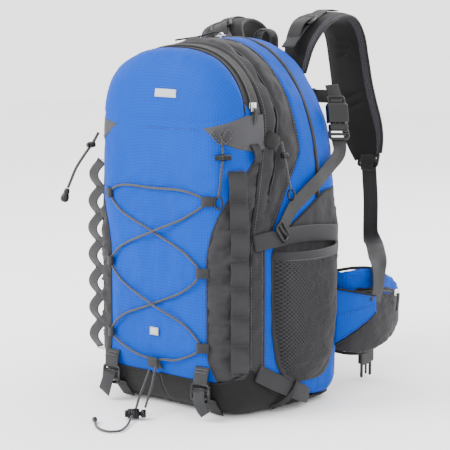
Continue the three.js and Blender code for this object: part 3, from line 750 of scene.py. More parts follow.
def lid():
    count = 120
    low, high = lid_edge(count), lid_arch(LID_Y, LID_CORNER_Z, count)
    grid = puffed(between(low, high, 46), puff=4.2, crease=1.5, scale=70, seed=5.0, edge=6)
    piece = cloth_shell("lid_panel", grid, [BLUE_CLOTH, LINING], 2.0)
    on_body(piece, "front_lid", "pocket_lid")
    on_body(piping("lid_piping", high, 1.6, 1.4), "front_lid")
    on_body(seam_stitches("lid_stitches", [lid_arch(LID_Y - 5, LID_CORNER_Z + 3, count)], 2.9, BLUE_THREAD),
            "front_lid")
    on_panel(seam_stitches("lid_seam_stitches", [chart(np.linspace(36, -36, 60), 384)], 3.6, BLUE_THREAD))
    # The wide zip behind the lid: two woven tapes with the coil between them.
    for tag, low_y, high_y, off, material in (("front", LID_Y + 1, -60, 1.0, BLACK_WEB),
                                              ("rear", -58.6, -43, 1.6, BLACK_WEB)):
        tape = between(lid_arch(low_y, LID_CORNER_Z - 8, count), lid_arch(high_y, LID_CORNER_Z - 8, count), 8)
        tape = tape + normals(tape) * off
        on_body(cloth_shell(f"pocket_tape_{tag}", tape, [material], 1.2), "main_panel",
                *(["pocket_zip"] if tag == "front" else []))
    coil = lid_arch(-59.3, LID_CORNER_Z - 8, count)
    coil = coil + outward(coil) * 1.9
    rings, faces, cloth = tube_parts(smooth_path(coil[::3], 1.6), 1.7, 8)
    on_body(as_mesh("pocket_coil", rings, faces, [COIL], cloth), "main_panel")


def corner_patches():
    """Grey reinforcement on the front's upper corners, with a stitched edge."""
    t = np.linspace(0, 1, 40)
    outer = float(bearing(front_seam, 380.0))
    corner = float(bearing(flat_seam(LID_Y), LID_CORNER_Z))
    low_z = np.interp(t, [0, 0.12, 0.3, 0.5, 0.7, 1], [LID_Z - 1.5, 378, 367, 360, 357, 358])
    for tag, sign in (("right", 1), ("left", -1)):
        start = PATCH_START[sign]
        turn = start + (outer - start) * t
        rise = np.clip((turn - start) / (corner - start), 0, 1)
        top_z = LID_Z + (LID_CORNER_Z - LID_Z) * rise ** 1.3 - 0.8
        grid = between(chart(sign * turn, low_z), chart(sign * turn, top_z), 14)
        grid = puffed(grid, puff=0.8, crease=0.7, scale=30, seed=11.0, off=3.6, edge=3)
        on_panel(cloth_shell(f"corner_patch_{tag}", grid, [PATCH_CLOTH], 1.4))
        rim = chart(sign * (turn + 0.6), low_z + 2.6)[2:]
        on_panel(seam_stitches(f"corner_stitches_{tag}", [rim], 4.6, GREY_THREAD))


def gusset():
    """The long grey side band between the front pocket and the main compartment, with its sunk zip."""
    count = 260
    low_front, low_main = hoop(front_seam, 62, count), hoop(main_seam, 44, count)
    grid = between(low_front, low_main, 21)
    share = np.linspace(0, 1, 21)[None, :]
    height = grid[..., 2]
    groove = np.exp(-((share - 0.42) / 0.07) ** 2) * np.clip((height - 262) / 60, 0, 1)
    shaped = puffed(grid, puff=5.0, crease=5.4, scale=40, seed=21.0, edge=3, stretch=(1, 1, 1.6))
    shaped = shaped - normals(grid) * (groove * 6.5)[..., None]
    on_panel(cloth_shell("side_gusset", shaped, [GREY_CLOTH, LINING]),
             "middle_pocket_lower", "middle_pocket_upper", "fold_gusset")
    line = shaped[:, 9] + normals(grid)[:, 9] * 0.9
    line = line[line[:, 2] > 285]
    rings, faces, cloth = tube_parts(smooth_path(line[::4], 1.6), 1.5, 8)
    on_panel(as_mesh("middle_coil", rings, faces, [COIL], cloth))
    on_panel(seam_stitches("gusset_stitches",
                           [hoop(front_seam, 70, count, 4.0), hoop(main_seam, 52, count, -4.0)],
                           3.6, GREY_THREAD))
    on_panel(piping("main_seam_piping", hoop(main_seam, 46, count), 1.5, 1.1, GREY_CLOTH))


def shells():
    """The blue main compartment in front of the zip and behind it, and the back panel."""
    count = 240
    rim = hoop(flat_seam(ZIP_Y - 0.2), 14, count)
    grid = between(hoop(main_seam, 42, count), rim, 26)
    shaped = puffed(grid, puff=3.2, crease=2.2, scale=60, seed=31.0, off=0.5, edge=8)
    shaped[:, -1] = rim + outward(rim) * 0.6
    on_panel(cloth_shell("flap_panel", shaped, [BLUE_CLOTH, LINING], 2.0), "main_flap")
    rear = hoop(flat_seam(103), 14, count)
    grid = between(rim, rear, 22)
    shaped = puffed(grid, puff=2.6, crease=2.0, scale=60, seed=41.0, off=0.5, edge=8)
    shaped[:, 0] = rim + outward(rim) * 0.6
    on_body(cloth_shell("rear_shell", shaped, [BLUE_CLOTH, LINING], 2.0), "pack", "main_shell")
    on_body(piping("back_piping", rear, 2.2, 0.8), "pack")
    half = count // 2
    grid = between(rear[:half], rear[::-1][:half], 40)
    shaped = puffed(grid, puff=1.5, crease=0.8, scale=50, seed=51.0, off=0.2)
    on_body(cloth_shell("back_panel", shaped, [BLACK_CLOTH, LINING], 2.0), "pack")


def base():
    """The black base: one moulded tray of heavy cloth."""
    turn = np.linspace(0, 360, 181)[:-1]
    ring = chart(turn, 60.0)
    for _ in range(4):
        ring = chart(turn, base_top(ring[:, 1]))
    ring = np.vstack([ring, ring[:1]])
    middle = ring * np.array([0.06, 0.06, 0]) + np.array([0, 0, -2.0])
    share = np.linspace(0, 1, 34)[None, :, None]
    grid = onto_body(ring[:, None, :] * (1 - share) + middle[:, None, :] * share)
    grid = grid + normals(grid) * (0.8 + creases(grid, 0.9, 50,
                                                 61.0) * (1 - np.abs(np.linspace(-1, 1, 34))))[..., None]
    grid[..., 2] = np.maximum(grid[..., 2], 0.3)
    on_body(cloth_shell("base_tray", grid, [BLACK_CLOTH, LINING], 1.8), "pack", "base_panel")
    on_body(piping("base_piping", ring[:-1], 1.5, 1.2), "pack")


def main_zip():
    """Tapes and coils on both sides of the opening."""
    count = 240
    for tag, near, far, coil_y, body in (("front", ZIP_Y - 5, ZIP_Y - 0.9, ZIP_Y - 1.2, "main_panel"),
                                         ("rear", ZIP_Y + 0.9, ZIP_Y + 5, ZIP_Y + 1.2, "pack")):
        a, b = hoop(flat_seam(near), 200, count), hoop(flat_seam(far), 200, count)
        keep = a[:, 2] > FOLD_Z
        tape = between(a[keep], b[keep], 6)
        tape = tape + normals(tape) * 3.0
        piece = cloth_shell(f"main_tape_{tag}", tape, [BLACK_WEB], 1.4)
        line = hoop(flat_seam(coil_y), 200, count)[keep]
        line = line + outward(line) * 3.6
        rings, faces, cloth = tube_parts(smooth_path(line[::3], 1.6), 1.35, 8)
        coil = as_mesh(f"main_coil_{tag}", rings, faces, [COIL], cloth)
        if tag == "front":
            on_panel(piece, "main_zip_front")
            on_panel(coil)
        else:
            on_body(piece, body, "main_zip_rear")
            on_body(coil, body)


def inner_walls():
    """Dividers that show when the pack is open: behind the front pocket and behind the middle one."""
    def wall(name, seam, low, top, shift, thickness):
        z = np.linspace(low, top, 60)
        y = np.interp(z, *seam) + shift
        edge = side(y, z)[:, 0] - 3.5
        share = np.linspace(-1, 1, 30)
        grid = np.stack([edge[:, None] * share, y[:, None] + 0 * share, z[:, None] + 0 * share], axis=2)
        grid[..., 1] += creases(grid, 1.4, 40, 71.0)
        out = np.zeros_like(grid)
        out[..., 1] = 1
        on_panel(cloth_shell(name, grid, [LINING], thickness, out))
    wall("flap_divider", main_seam, 60, 496, 3.0, 1.2)
    wall("pocket_divider", front_seam, 150, 490, -3.0, 1.2)
    z0 = LID_Z - 9
    y = np.linspace(-110, -44, 16)
    share = np.linspace(-1, 1, 30)
    edge = side(np.maximum(y, -110), z0)[:, 0] - 4
    grid = np.stack([edge[:, None] * share, y[:, None] + 0 * share, 0 * share + z0 + 0 * y[:, None]], axis=2)
    grid[..., 2] += creases(grid, 2.0, 30, 81.0)
    out = np.zeros_like(grid)
    out[..., 2] = 1
    on_body(cloth_shell("pocket_floor", grid, [LINING], 1.2, out), "main_panel")


# ======== small solid parts ========
def rounded_box(centre, size, radius, axes=((1, 0, 0), (0, 1, 0), (0, 0, 1)), cuts=4):
    """Parts of a block with round edges."""
    size, axes = np.array(size, float), np.array([unit(a) for a in axes])
    ticks = np.concatenate([np.linspace(-1, -0.55, cuts), np.linspace(0.55, 1, cuts)])
    index, points, faces = {}, [], []

    def corner(key):
        if key not in index:
            p = np.array([ticks[k] for k in key]) * size / 2
            core = np.clip(p, -(size / 2 - radius), size / 2 - radius)
            way = p - core
            far = np.linalg.norm(way)
            p = core + way / far * radius if far > 1e-9 else p
            index[key] = len(points)
            points.append(np.array(centre, float) + p @ axes)
        return index[key]
    last = len(ticks) - 1
    for axis in range(3):
        b, c = (axis + 1) % 3, (axis + 2) % 3
        for end in (0, last):
            for i in range(last):
                for j in range(last):
                    keys = []
                    for di, dj in ((0, 0), (1, 0), (1, 1), (0, 1)):
                        key = [0, 0, 0]
                        key[axis], key[b], key[c] = end, i + di, j + dj
                        keys.append(corner(tuple(key)))
                    faces.append(tuple(keys) if end else tuple(keys[::-1]))
    cloth = [(*(p[:2]), 0) for p in points]
    return np.array(points), faces, np.array(cloth)


def lathe(centre, axis, profile, sides=20):
    """Parts of a round piece: profile is (distance along the axis, radius) from end to end."""
    path = np.array([np.array(centre, float) + unit(axis) * far for far, _ in profile])
    path = path + np.arange(len(path))[:, None] * 1e-6
    way = unit(axis)
    side_way = unit(np.cross(way, [0.3, 0.2, 1.0]))
    up = np.cross(way, side_way)
    rings, cloth = [], []
    for at, (far, size) in zip(path, profile):
        for k in range(sides):
            turn = 2 * math.pi * k / sides
            rings.append(at + max(size, 0.01) * (math.cos(turn) * side_way + math.sin(turn) * up))
            cloth.append((size * turn, far, 0))
    faces = capped_faces(len(profile), sides)
    return np.array(rings), faces, np.array(cloth)


def round_profile(length, radius, edge):
    """A cylinder's profile with rounded ends, centred on the origin."""
    turns = np.linspace(0, math.pi / 2, 5)
    start = [(-length / 2 + edge * (1 - math.sin(t)), radius - edge * (1 - math.sin(t))) for t in turns]
    return [(-length / 2, 0)] + start + [(-far, size) for far, size in start[::-1]] + [(length / 2, 0)]


def frame_parts(centre, wide, long, width, length, radius, bars=(0.0,)):
    """Parts of a ladder lock or tri-glide: a rounded rectangular loop of moulded rod with cross bars."""
    wide, long = unit(wide), unit(long)
    centre = np.array(centre, float)
    corners = []
    w, h, r = width / 2, length / 2, radius * 1.6
    for su, sv, start in ((1, 1, 0), (-1, 1, 90), (-1, -1, 180), (1, -1, 270)):
        for k in range(4):
            turn = math.radians(start + 30 * k)
            corners.append(centre + wide * (su * (w - r) + r * math.cos(turn))
                           + long * (sv * (h - r) + r * math.sin(turn)))
    path = np.array(corners + corners[:1])
    parts = [tube_parts(path, radius, 8)]
    for share in bars:
        line = np.array([centre + long * share * h - wide * w, centre + long * share * h + wide * w])
        parts.append(tube_parts(line, radius * 0.9, 8))
    return parts


def barrel_lock(name, centre, axis, size=1.0):
    """A spring cord lock: a ribbed barrel with a button in its end."""
    parts = [lathe(centre, axis, [(far * size, r * size) for far, r in round_profile(15, 6.6, 1.4)])]
    way = unit(axis)
    for far in (-4.5, -1.5, 1.5, 4.5):
        ring = [(far * size - 0.5, 6.5 * size), (far * size - 0.3, 7.0 * size),
                (far * size + 0.3, 7.0 * size),
                (far * size + 0.5, 6.5 * size)]
        parts.append(lathe(np.array(centre, float), way, [(ring[0][0], 0)] + ring + [(ring[-1][0], 0)]))
    parts.append(lathe(np.array(centre, float) - way * 9.2 * size, way,
                       [(far * size, r * size) for far, r in round_profile(4, 4.8, 1.0)]))
    return joined(name, parts, BLACK_PLASTIC)


# ======== cords, at the places of their CAD solids ========
CORD_R = 1.6
TAIL = [(-5, -124, 56), (-6, -132, 40), (-4, -146, 22), (2, -158, 12), (8, -168, 9), (14, -180, 6),
        (24, -196, 2.6),
        (34, -214, 2), (38, -228, 2), (30, -238, 2), (14, -238, 2), (-2, -230, 2), (-12, -221, 3)]
RETURN = [(5, -124, 56), (7, -132, 38), (10, -144, 22), (15, -154, 14)]
TOOL_LEFT = [(-121, -100, 372), (-127, -105, 358), (-137, -111, 342), (-148, -118, 322), (-154, -123, 304),
             (-157, -126, 294)]
TOOL_RIGHT = [(106, -102, 368), (111, -107, 354), (110, -108.5, 334), (108, -109.5, 312), (107, -110.5, 300)]
POLE = [(142, -24, 368), (145.5, -22, 350), (148, -17, 322), (149, -13, 304)]
LOCK, LOCK_AXIS = (10, -172, 8), (0.77, 0.64, 0)


def free_cord(name, points, radius):
    path = smooth_path(points, 2.0)
    rings, faces, cloth = tube_parts(path, radius, 10)
    piece = as_mesh(name, rings, faces, [CORD], cloth)
    return piece


def end_bead(name, at, toward, length, radius):
    profile = [(0, 0), (0, 0.45), (0.06, 0.6), (0.3, 0.72), (0.34, 0.6), (0.38, 0.74), (0.66, 1.0),
               (0.86, 0.93),
               (0.96, 0.6), (1, 0)]
    return joined(name, [lathe(at, toward, [(far * length, size * radius) for far, size in profile])],
                  BLACK_PLASTIC)


def hook_ring(name, centre, outer, inner):
    turn = np.linspace(0, 2 * math.pi, 25)
    middle = (outer + inner) / 2
    path = np.array([(centre[0] + middle * math.cos(t), centre[1], centre[2] + 1.35 * middle * math.sin(t))
                     for t in turn])
    return joined(name, [tube_parts(path, (outer - inner) / 2 + 0.2, 8)], BLACK_PLASTIC)


def make_cords():
    lock = barrel_lock("bungee_lock_body", LOCK, LOCK_AXIS)
    on_body(lock, "pack", "bungee_lock")
    way = unit(LOCK_AXIS)
    button = joined("bungee_lock_button",
                    [lathe(np.array(LOCK) + way * 13.5, way, round_profile(6, 5.4, 1.2)),
                                           lathe(np.array(LOCK) + way * 9.9, way, round_profile(4, 3, 0.4))],
                    BLACK_PLASTIC)
    on_body(button, "lock_button", "bungee_button")
    bead = end_bead("bungee_end_bead", (-12.8, -220.4, 3.6), (-0.75, 0.62, 0.02), 13, 3.6)
    on_body(bead, "pack", "bungee_end")
    tail = free_cord("bungee_tail_cord", TAIL, CORD_R)
    on_body(tail, "pack", "bungee_tail")
    bead = end_bead("tool_end_bead", (-157.2, -126.3, 293), (-0.25, -0.18, -1), 20, 6)
    on_body(bead, "main_panel", "tool_bead_left")
    toggle = barrel_lock("tool_toggle_left", (-129, -106, 355), (0.3, 0.9, 0.1), 0.62)
    on_body(toggle, "main_panel")
    left = free_cord("tool_cord_loop_left", TOOL_LEFT, 2.0)
    on_body(left, "main_panel", "tool_cord_left")
    ring = hook_ring("tool_hook_right", (107, -111, 292), 7.5, 5)
    toggle = joined("tool_toggle_right",
                    [lathe((112, -107.6, 351), (0.8, 0.6, 0.03), round_profile(21, 3.7, 0.8)),
                                          lathe((112, -107.6, 351), (0.8, 0.6, 0.03),
                                                round_profile(7, 4.5, 1.0))],
                    BLACK_PLASTIC)
    right = free_cord("tool_cord_loop_right", TOOL_RIGHT, CORD_R)
    for piece, nodes in ((ring, []), (toggle, []), (right, ["tool_cord_right"])):
        on_panel(piece, *nodes)
    ring = hook_ring("pole_hook", (149.5, -12, 297), 6.5, 4.2)
    toggle = barrel_lock("pole_toggle", (145.6, -22, 350), (0.2, 1, 0), 0.55)
    pole = free_cord("pole_cord_loop", POLE, CORD_R)
    for piece, nodes in ((ring, []), (toggle, []), (pole, ["pole_cord"])):
        on_panel(piece, *nodes)


# ======== front trim ========
CORNER_Y = -86
LOOP_ROWS = (293, 198, 98)
LOOP_X = 84


def flare(z, sign):
    """The top right tab sits further out, on the seam."""
    return 8.0 if z > 280 and sign > 0 else 0.0


def ladders():
    """Webbing down both front corners, sewn at even steps with a standing loop between."""
    z = np.linspace(332, 64, 140)
    phase = (332 - z) / (332 - 64) * 7 * math.pi
    for tag, sign, base, wide in (("right", 1, 5.6, (0.69, 0.72, 0)), ("left", -1, 9.5, (-0.97, 0.24, 0))):
        stand = base + 10.5 * np.abs(np.sin(phase)) ** 1.3
        out = np.array([0.72 * sign, -0.69, 0])
        path = side(0 * z + CORNER_Y, z, 0, sign) + out * stand[:, None]
        on_panel(strap(f"daisy_chain_{tag}", path[::2], wide, WEB, 1.7, GREY_WEB, 2.6),
                 f"webbing_ladder_{tag}")
        flat = side(0 * z + CORNER_Y, z, 0, sign) + out * 4.6
        on_panel(strap(f"daisy_backing_{tag}", flat[::6], (0.69 * sign, 0.72, 0), WEB - 1, 1.5, GREY_WEB, 5))
        parts = []
        for k in range(8):
            at = side(np.array([CORNER_Y]), np.array([332 - k * 268 / 7]), 0, sign)[0] + out * (base + 1.3)
            for shift in (-1.6, 0, 1.6):
                line = np.array([at + np.array(wide) * w + np.array([0, 0, shift])
                                 for w in np.linspace(-10, 10, 9)])
                parts += stitch_parts(line, np.repeat(out[None], 9, 0), 1.9, 0.3, 0.45)
        on_panel(joined(f"daisy_bartacks_{tag}", parts, BLACK_THREAD))


def cord_loop_tabs():
    for tag, sign in (("right", 1), ("left", -1)):
        made = []
        for z in LOOP_ROWS:
            places = [(93, 4.8), (89, 6.8), (84, 9.6), (79, 9.9), (76.6, 7.6), (79, 5.2), (88, 4.2)]
            points = [front(np.array([(x + flare(z, sign)) * sign]), z, off)[0] for x, off in places]
            path = smooth_path(points, 1.5)
            made.append((path, z))
        parts = []
        for path, _ in made:
            piece = strap("loop", path[::2], (0, 0, 1), 13, 1.3, GREY_WEB, 1.6)
            mesh = piece.data
            points = np.array([v.co for v in mesh.vertices]) / MM
            cloth = np.array([v.vector for v in mesh.attributes["cloth"].data])
            parts.append((points, [tuple(p.vertices) for p in mesh.polygons], cloth))
            bpy.data.objects.remove(piece)
        on_panel(joined(f"lacing_tabs_{tag}", parts, GREY_WEB), f"cord_loops_{tag}")
        stitches = []
        for _, z in made:
            line = front(np.full(7, (90.0 + flare(z, sign)) * sign), z + np.linspace(-5, 5, 7), 7.4)
            stitches += stitch_parts(line, np.repeat(np.array([[0, -1.0, 0]]), 7, 0), 1.6, 0.3, 0.4)
        on_panel(joined(f"lacing_tab_stitches_{tag}", stitches, BLACK_THREAD))


def lacing():
    off = (6.6, 10.6)
    x = LOOP_X - 3
    route = [(-7, 70, 0), (-40, 76, 0), (-x, 98, 0), (-62, 122, 0), (0, 148, 0), (62, 176, 0), (x, 198, 0),
             (62, 219, 0), (0, 246, 0), (-62, 272, 0), (-x, 293, 0), (-62, 304, 0), (0, 305, 0), (62, 304, 0),
             (x, 293, 0), (62, 272, 0), (0, 246, 1), (-62, 219, 0), (-x, 198, 0), (-62, 176, 0), (0, 148, 1),
             (62, 122, 0), (x, 98, 0), (40, 76, 0), (7, 70, 0)]
    route = [(a + (flare(b, 1) if a == x else 0), b, over) for a, b, over in route]
    points = [tuple(front(np.array([float(a)]), b, off[over])[0]) for a, b, over in route] + RETURN
    on_panel(tube("lacing_cord", points, CORD_R, CORD, 2.2), "bungee_lacing")
    tab = [front(np.array([0.0]), z, o)[0] for z,
           o in ((58, 2), (66, 6), (72, 9.6), (74, 11), (70, 11.8), (60, 11.2))]
    on_panel(strap("lacing_anchor", tab, (1, 0, 0), 18, 1.6, GREY_WEB, 1.8))


def base_straps():
    """Grey webbing with ladder locks at the lower front corners, and the black webbing that they hold."""
    for tag, sign in (("right", 1), ("left", -1)):
        x = 82 * sign
        spot = [tuple(front(np.array([float(x)]), z, o)[0]) for z, o in ((72, 3.5), (66, 7), (60, 9.5))]
        low_y = spot[-1][1]
        points = spot + [(x, low_y - 0.5, 52), (x, low_y + 0.5, 47), (x, low_y + 3.5, 52)]
        on_body(strap(f"base_webbing_{tag}", points, (1, 0, 0), WEB, 1.8, GREY_WEB, 3), "pack",
                f"base_strap_{tag}")
        centre = (x, low_y - 0.5, 38)
        lock = joined(f"base_ladder_lock_{tag}",
                      frame_parts(centre, (1, 0, 0), (0, 0.1, 1), 29, 22, 2.3, (0.0, 0.42)), BLACK_PLASTIC)
        on_body(lock, "pack", f"ladder_lock_{tag}")
        strip = [(x, low_y + 3, 44), (x, low_y - 4.2, 39), (x, low_y + 2, 31)]
        strip += [tuple(front(np.array([float(x)]), z, 2.6)[0]) for z in (24, 18)]
        strip += [(x, -84, 1.6)]
        on_body(strap(f"base_under_webbing_{tag}", strip, (1, 0, 0), 22, 1.6, BLACK_WEB, 3), "pack")
        tail = [(x, low_y - 3.6, 40), (x + 3 * sign, low_y - 7, 28), (x + 8 * sign, low_y - 6, 17),
                (x + 12 * sign, low_y - 4, 11)]
        on_body(strap(f"base_tail_{tag}", tail, (1, 0, 0.25 * sign), 20, 1.6, GREY_WEB, 3), "pack")
        line = front(x + np.linspace(-9, 9, 9), 69.0, 7.4)
        rows = stitch_parts(line, np.repeat(np.array([[0, -1.0, 0]]), 9, 0), 1.9, 0.3, 0.45)
        line = front(x + np.linspace(-9, 9, 9), 65.0, 9.2)
        rows += stitch_parts(line, np.repeat(np.array([[0, -1.0, 0]]), 9, 0), 1.9, 0.3, 0.45)
        on_body(joined(f"base_bartack_{tag}", rows, GREY_THREAD), "pack")


def bow():
    """The tool cord is tied through the right patch: two loops and two ends."""
    centre = np.array(TOOL_RIGHT[0]) + np.array([1.0, -1.5, 2.0])
    wide, out = unit(np.array([0.77, 0.64, 0])), unit(np.array([0.64, -0.77, 0]))
    parts = [lathe(centre, (0.2, 0.1, 1), round_profile(6, 3.0, 1.2), 12)]
    for way in (1, -1):
        loop = [(0, 0, 0), (way * 6, 3, 4), (way * 12, 4, 13), (way * 7, 5, 17), (way * 2, 4, 9), (0, 2, 1)]
        end = [(0, 0, 0), (way * 5, 4, -1), (way * 11, 5, 5), (way * 15, 4, 12)]
        for line, radius in ((loop, 1.1), (end, 1.0)):
            path = np.array([centre + wide * a + out * b * 0.6 + np.array([0, 0, c]) for a, b, c in line])
            parts.append(tube_parts(smooth_path(path, 1.5), radius, 8))
    on_panel(joined("patch_bow", parts, CORD))
    tab = [side(np.array([y]), np.array([z]), off)[0] for y, z, off in
           ((-62, 366, 4), (-62, 360, 9), (-62, 350, 11), (-62, 342, 8))]
    on_panel(strap("patch_tab", tab, (0, 1, 0.1), 15, 1.6, BLACK_WEB, 2.5))


def labels():
    """Two small blank woven labels, sewn round their edges."""
    pale = plain_weave("blank label", rgba(226, 228, 232), thread=0.5, contrast=0.1, crease=0.0002)
    for name, x0, z0, width, height, body in (("lid_label", 22, 430, 36, 12, "front_lid"),
                                              ("front_label", 0, 110, 15, 11, "pack")):
        x = np.linspace(x0 - width / 2, x0 + width / 2, 14)
        z = np.linspace(z0 - height / 2, z0 + height / 2, 8)
        grid = onto_body(np.stack([x[None, :] + 0 * z[:, None], 0 * x[None, :] - 112 + 0 * z[:, None],
                                   z[:, None] + 0 * x[None, :]], axis=2))
        out = normals(grid)
        piece = cloth_shell(name, grid + out * 6.2, [pale], 1.0, out)
        rim = np.concatenate([grid[0], grid[1:, -1], grid[-1, ::-1][1:], grid[::-1, 0][1:]])
        rim = rim + (np.array([x0, rim[:, 1].mean(), z0]) - rim) * 0.12
        stitches = joined(name + "_stitches",
                          stitch_parts(rim + outward(rim) * 6.2, outward(rim), 1.8, 0.9, 0.3),
                          GREY_THREAD)
        for made in (piece, stitches):
            on_body(made, body)


# ======== sides: net pockets, webbing, buckles ========
POCKET_Y, POCKET_TOP = 24, 222
POCKET_Z = [38, 44, 52, 72, 110, 165, 222]
POCKET_HALF = [20, 34, 43, 54, 60, 62, 62]
POCKET_BULGE = [1, 7, 14, 23, 29, 31, 28]


def pocket_surface(turn, z, sign=1, grow=0.0):
    half, bulge = np.interp(z, POCKET_Z, POCKET_HALF), np.interp(z, POCKET_Z, POCKET_BULGE)
    y = POCKET_Y + half * np.sin(turn)
    x = 118 + (31 + bulge + grow) * np.maximum(np.cos(turn), 0) ** 0.62
    on = side(y, z)[..., 0] + 3.2
    x = np.maximum(x, on)
    return np.stack([sign * x, y, z + 0 * y], axis=-1)


def net_pockets():
    """Diamond net with an elastic hem, sewn to the side along its edges."""
    across, up = 62, 64
    for tag, sign in (("right", 1), ("left", -1)):
        turn = np.arcsin(np.linspace(-1, 1, across + 1) * 0.998)[None, :]
        z = np.linspace(40, POCKET_TOP - 4, up + 1)[:, None]
        turn, z = turn + 0 * z, z + 0 * turn
        grid = pocket_surface(turn, z, sign)
        sway = creases(grid, 3.2, 40, 91.0, (1, 1, 1.6))
        grid[..., 0] += sign * sway * np.cos(turn)
        points, cloth = grid.reshape(-1, 3), lengths(grid).reshape(-1, 3)
        columns = across + 1
        faces = []
        for r in range(1, up):
            for c in range(1, across):
                if (r + c) % 2:
                    faces.append((r * columns + c - 1, (r - 1) * columns + c, r * columns + c + 1,
                                  (r + 1) * columns + c))
        net = as_mesh(f"bottle_net_{tag}", points, faces, [NET_YARN], cloth)
        wires = net.modifiers.new("strands", "WIREFRAME")
        wires.thickness = 1.5 * MM
        wires.use_even_offset = False
        wires.use_boundary = True
        apply_modifiers(net)
        on_body(net, "pack", f"bottle_pocket_{tag}")
        turn = np.linspace(-1.5, 1.5, 50)
        rim = pocket_surface(turn, 0 * turn + POCKET_TOP - 4, sign, 1.6)
        rim[:, 2] += 1.5 * np.sin(turn * 1.3)
        on_body(strap(f"pocket_hem_{tag}", rim[::3], (0, 0, 1), 13, 3.0, GREY_WEB, 3), "pack")
        folds = rim + np.array([sign * 1.7, 0, -4.0])
        on_body(seam_stitches(f"pocket_hem_stitches_{tag}", [folds[4:-4]], 0.2, GREY_THREAD), "pack")
        edge_z = np.concatenate([np.linspace(218, 44, 40), np.full(14, 40.0), np.linspace(44, 218, 40)])
        half = np.interp(edge_z, POCKET_Z, POCKET_HALF)
        edge_y = POCKET_Y + np.concatenate([-half[:40], np.linspace(-half[40], half[53], 14), half[54:]])
        edge = side(edge_y, edge_z, 3.4, sign)
        on_body(joined(f"pocket_edge_{tag}", [tube_parts(smooth_path(edge[::3], 3.5), 1.9, 8)], GREY_WEB),
                "pack")


def apply_modifiers(piece):
    evaluated = piece.evaluated_get(bpy.context.evaluated_depsgraph_get())
    mesh = bpy.data.meshes.new_from_object(evaluated)
    piece.modifiers.clear()
    piece.data = mesh


def side_panels():
    """Stretch cloth behind the nets and above them, and the webbing across the sides."""
    for tag, sign in (("right", 1), ("left", -1)):
        y = np.linspace(-37, 99, 60)
        top = side(y, np.interp(y, [-37, 60, 99], [238, 296, 300]), 0, sign)
        low_z = np.interp(np.abs(y - POCKET_Y), [0, 20, 34, 43, 54, 60, 62], [40, 40, 44, 52, 72, 110, 150])
        low = side(y, np.where(y > POCKET_Y + 62, 205.0, low_z), 0, sign)
        grid = between(low, top, 60).transpose(1, 0, 2)
        shaped = puffed(grid, puff=1.2, crease=1.6, scale=34, seed=101.0, off=6.2, edge=10,
                        stretch=(1, 1.6, 0.7))
        settle = np.interp(y, [-37, -28, 84, 99], [0.7, 1, 1, 0.35])[None, :, None]
        on_panel(cloth_shell(f"side_stretch_{tag}", grid + (shaped - grid) * settle, [GREY_CLOTH], 1.4))
        rim = top[:-9]
        on_panel(piping(f"side_stretch_piping_{tag}", rim, 1.3, 6.4))
        y = np.array([-70, -50, -30, -8, 20, 50, 78, 97.0])
        z = np.array([236, 240, 241, 243, 243, 241, 238, 236.0])
        path = side(y, z, 10.0, sign)
        path[0], path[-1] = side(y[:1], z[:1], 5.0, sign)[0], side(y[-1:], z[-1:], 5.0, sign)[0]
        on_panel(strap(f"side_webbing_{tag}", path, (0, 0, 1), WEB - 1, 1.7, GREY_WEB, 4))
        slope = [side(np.array([a]), np.array([b]), c, sign)[0]
                 for a, b, c in ((-62, 62, 3.6), (-40, 49, 6), (-16, 37, 6), (8, 26, 5.5), (24, 19, 4.5),
                                 (36, 15.5, 3.5))]
        on_body(strap(f"low_webbing_{tag}", slope, (0, 0.5, 0.86), WEB, 1.7, GREY_WEB, 4), "pack")
        elastic = [side(np.array([a]), np.array([b]), c, sign)[0]
                   for a, b, c in ((6, 44, 4), (2, 38, 8), (-8, 26, 10), (-20, 14, 9), (-28, 7, 4))]
        on_body(strap(f"low_elastic_{tag}", elastic, (0, 0.7, -0.7), 9, 2.0, BLACK_WEB, 3), "pack")


BUCKLE_TOP, BUCKLE_END = np.array([136, 107, 412.0]), np.array([151, 96, 352.0])
BUCKLE_WIDE = np.array([0.5, 0.86, 0])


